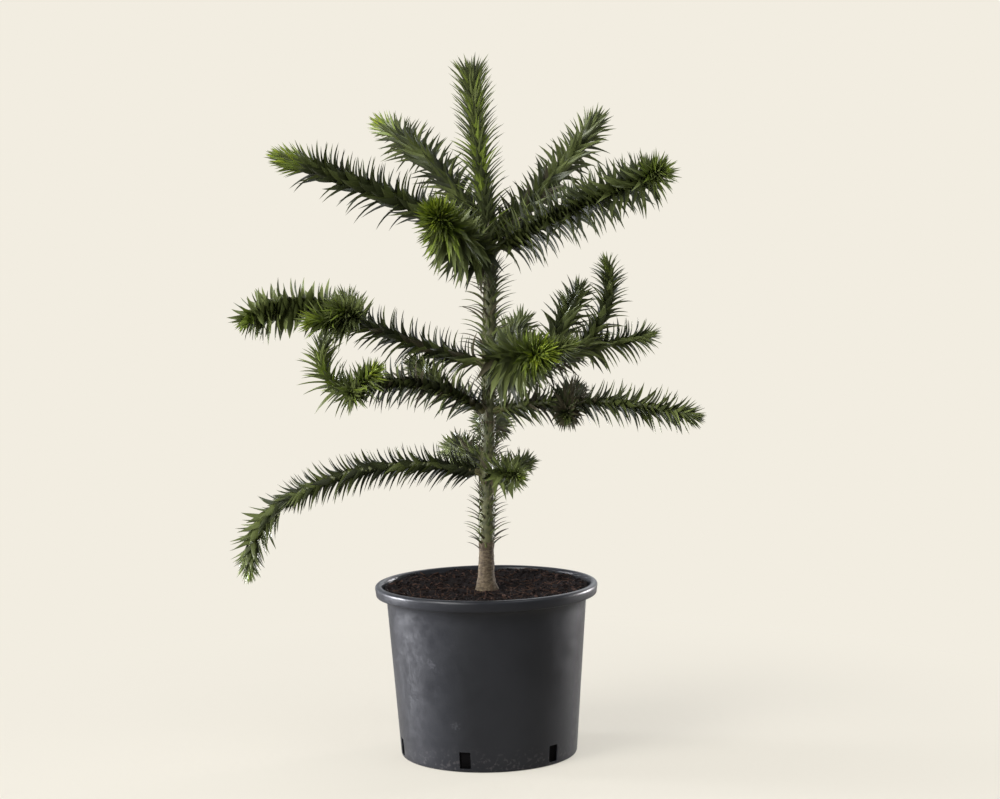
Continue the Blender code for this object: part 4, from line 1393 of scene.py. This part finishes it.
def leaf_points(leaves):
    """The corners of these leaves, with the shape (leaves, corners, 3)."""
    root = np.array([leaf.root[:] for leaf in leaves])[:, None]
    along = np.array([leaf.along[:] for leaf in leaves])[:, None]
    away = np.array([leaf.away[:] for leaf in leaves])[:, None]
    length, width, closed, opened, tip, sweep, roll, hug, waist = (
        np.array([getattr(leaf, name) for leaf in leaves])[:, None]
        for name in ("length", "width", "closed", "opened", "tip", "sweep", "roll", "hug", "waist")
    )
    bend = np.clip(STATIONS / hug, 0, 1)
    bend = bend * bend * (3 - 2 * bend)
    last = np.clip((STATIONS - hug) / (1 - hug), 0, 1)
    angle = np.radians(closed + (opened - closed) * bend + (tip - opened) * last)[..., None]
    out = np.cos(angle) * along + np.sin(angle) * away
    out = out + (sweep * STATIONS ** SWEEP_CURVE)[..., None] * np.array([0, 0, 1])
    out = unit(out)
    paces = np.diff(STATIONS)[None, :, None] * length[..., None]
    steps = (out[:, :-1] + out[:, 1:]) / 2 * paces
    spine = np.concatenate([root, root + np.cumsum(steps, axis=1)], axis=1)
    across = unit(np.cross(along, away))
    upper = np.cross(out, np.broadcast_to(across, out.shape))
    twist = np.radians(roll * STATIONS)[..., None]
    side = across * np.cos(twist) + upper * np.sin(twist)
    upper = upper * np.cos(twist) - across * np.sin(twist)
    slim = 1 - waist * np.clip((STATIONS - hug + WAIST_START) / WAIST_REACH, 0, 1)
    half = (width / 2 * WIDTHS * slim)[..., None]
    hollow = half * (CLASP_HOLLOW[0] + (CLASP_HOLLOW[1] - CLASP_HOLLOW[0]) * bend)[..., None] * 2
    keel = (length * KEEL * (KEEL_TIP + (1 - KEEL_TIP) * WIDTHS))[..., None]
    rings = np.stack([
        spine + side * half + upper * hollow,
        spine + upper * keel * RIDGE,
        spine - side * half + upper * hollow,
        spine - upper * keel,
    ], axis=2)
    body = rings[:, :-1].reshape(len(leaves), -1, 3)
    return np.concatenate([body, spine[:, -1:]], axis=1)


print("corners in a leaf:", POINT + 1, "faces:", len(LEAF_FACES))

# %% [markdown]
# ## Colour by age
#
# New leaves at the tips are yellow-green, last season's are fresh green, and old ones are deep green with
# a grey bloom, darker toward the trunk. A pattern painted across thousands of small leaves would only
# muddle, so each leaf is dealt one of a few plain greens by its age and by chance.

# %% Greens
LEAF_SHINE = 0.42
GREENS = {
    "tip": ((136, 150, 48), 0.42),
    "fresh": ((110, 125, 50), 0.40),
    "light": ((105, 114, 66), 0.38),
    "mid": ((86, 94, 51), 0.38),
    "deep": ((64, 70, 42), 0.38),
    "shade": ((50, 54, 35), 0.42),
    "old": ((80, 75, 57), 0.5),
}
print("greens:", ", ".join(GREENS))

# %% [markdown]
# Branches don't age alike either: one ends in lime, another is dull to its tip. The brown, dark and black
# ways darken the shoots at the back, inside and low in the crown, partly for their older, browner leaves
# and partly as painted shade. Each way of ageing lists the greens that a leaf may get, up to a distance
# back from the tip. A green named twice is twice as likely.

# %% Ways of ageing
OLD = 9.0  # further back than any leaf sits
AGES = {
    "dull": ((0.003, "fresh light mid"), (0.014, "light mid mid"), (0.060, "light mid mid deep"),
             (OLD, "light mid deep deep shade old")),
    "green": ((0.010, "fresh light mid"), (0.150, "light light mid deep"), (OLD, "mid deep old")),
    "soft": ((0.010, "light fresh light"), (OLD, "light light mid")),
    "fair": ((0.020, "light fresh fresh mid"), (OLD, "light mid mid deep")),
    "pale": ((0.010, "deep mid"), (OLD, "light light fresh mid")),
    # brown, dark and black: darker greens for shoots at the back, inside and low in the crown, partly older
    # leaves and partly painted shade
    "brown": ((0.004, "mid"), (OLD, "old old deep shade")),
    "dark": ((0.100, "light mid mid deep"), (OLD, "old mid mid deep deep")),
    "black": ((0.012, "light fresh mid"), (0.080, "mid mid deep"), (OLD, "mid deep shade")),
    "bright": ((0.004, "tip fresh"), (0.014, "tip fresh fresh mid"), (0.032, "fresh fresh light mid"),
               (0.080, "light mid mid deep"), (OLD, "light mid deep deep shade old")),
    "lime_tip": ((0.022, "tip fresh fresh mid"), (0.028, "fresh light mid"), (0.120, "mid mid deep deep"),
                 (OLD, "light mid deep deep shade")),
    "leader": ((0.005, "mid light deep deep"), (0.030, "fresh mid light mid deep"),
               (0.090, "fresh mid mid deep"), (OLD, "fresh mid deep deep")),
    "trunk": ((OLD, "light mid old old deep"),),
}
SHOOTS_BY_WAY = {
    "lime_tip": "top_left top_back_left",
    "fair": "top_right",
    "bright": "top_front upper_front upper_left_twig_1 middle_left_tip_twig_1",
    "soft": "upper_left_tip upper_left_twig_3",
    "pale": "middle_left_tip",
    "green": "middle_left_tip_twig_2 upper_right_tip upper_right_riser upper_right_rear",
    # these three ways darken shoots at the back, inside and low in the crown: partly older leaves, partly
    # painted shade
    "dark": "top_back_right middle_right middle_back upper_back",
    "brown": "middle_right_twig_1 middle_right_twig_2",
    "black": "low_left low_left_tip",
    "leader": "foliage_leader",
    "trunk": "foliage_upper_stem foliage_middle_stem foliage_lower_stem foliage_foot",
}
AGEING = {name: way for way, names in SHOOTS_BY_WAY.items() for name in names.split()}
# How much further back than usual a shoot's young colours reach.
VIGOUR = {"top_front": 1.8, "upper_front": 1.4, "top_back_left": 0.9, "upper_left_twig_1": 0.7}


def green_of(shoot, age, chance):
    """The kind of green that a leaf gets."""
    youth = age / VIGOUR.get(shoot.name, 1)
    stages = AGES[AGEING.get(shoot.name, "dull")]
    return chance.choice(next(kinds.split() for limit, kinds in stages if youth < limit))


print("ways of ageing:", len(AGES))

# %% [markdown]
# ## The leaves themselves
#
# Thousands of separate leaves would be slow to handle, so all leaves of one green are joined in one piece.
# Those of the leader are kept apart, because young leaves are a part slot of their own.

# %% Grow and join the leaves
groups = defaultdict(list)
masses = defaultdict(set)
left_out = 0
for shoot in shoots:
    chance = random.Random("colour " + shoot.name)
    leader = shoot.mass == "foliage_leader"
    for seat in seats_on(shoot):
        if crosses(shoot, seat.leaf):
            left_out += 1
            continue
        kind = ("young_" if leader else "") + green_of(shoot, seat.age, chance)
        groups[kind].append(seat.leaf)
        masses[kind].add(shoot.mass)
print("leaves:", sum(len(group) for group in groups.values()), "left out:", left_out)

for kind, leaves in groups.items():
    colour, roughness = GREENS[kind.removeprefix("young_")]
    finish = new_finish(kind + "_leaf", colour, roughness, LEAF_SHINE)
    mesh = joined("leaves_" + kind, leaf_points(leaves), LEAF_FACES, LEAF_CRISP)
    add_piece("leaves_" + kind, mesh, finish, masses[kind])
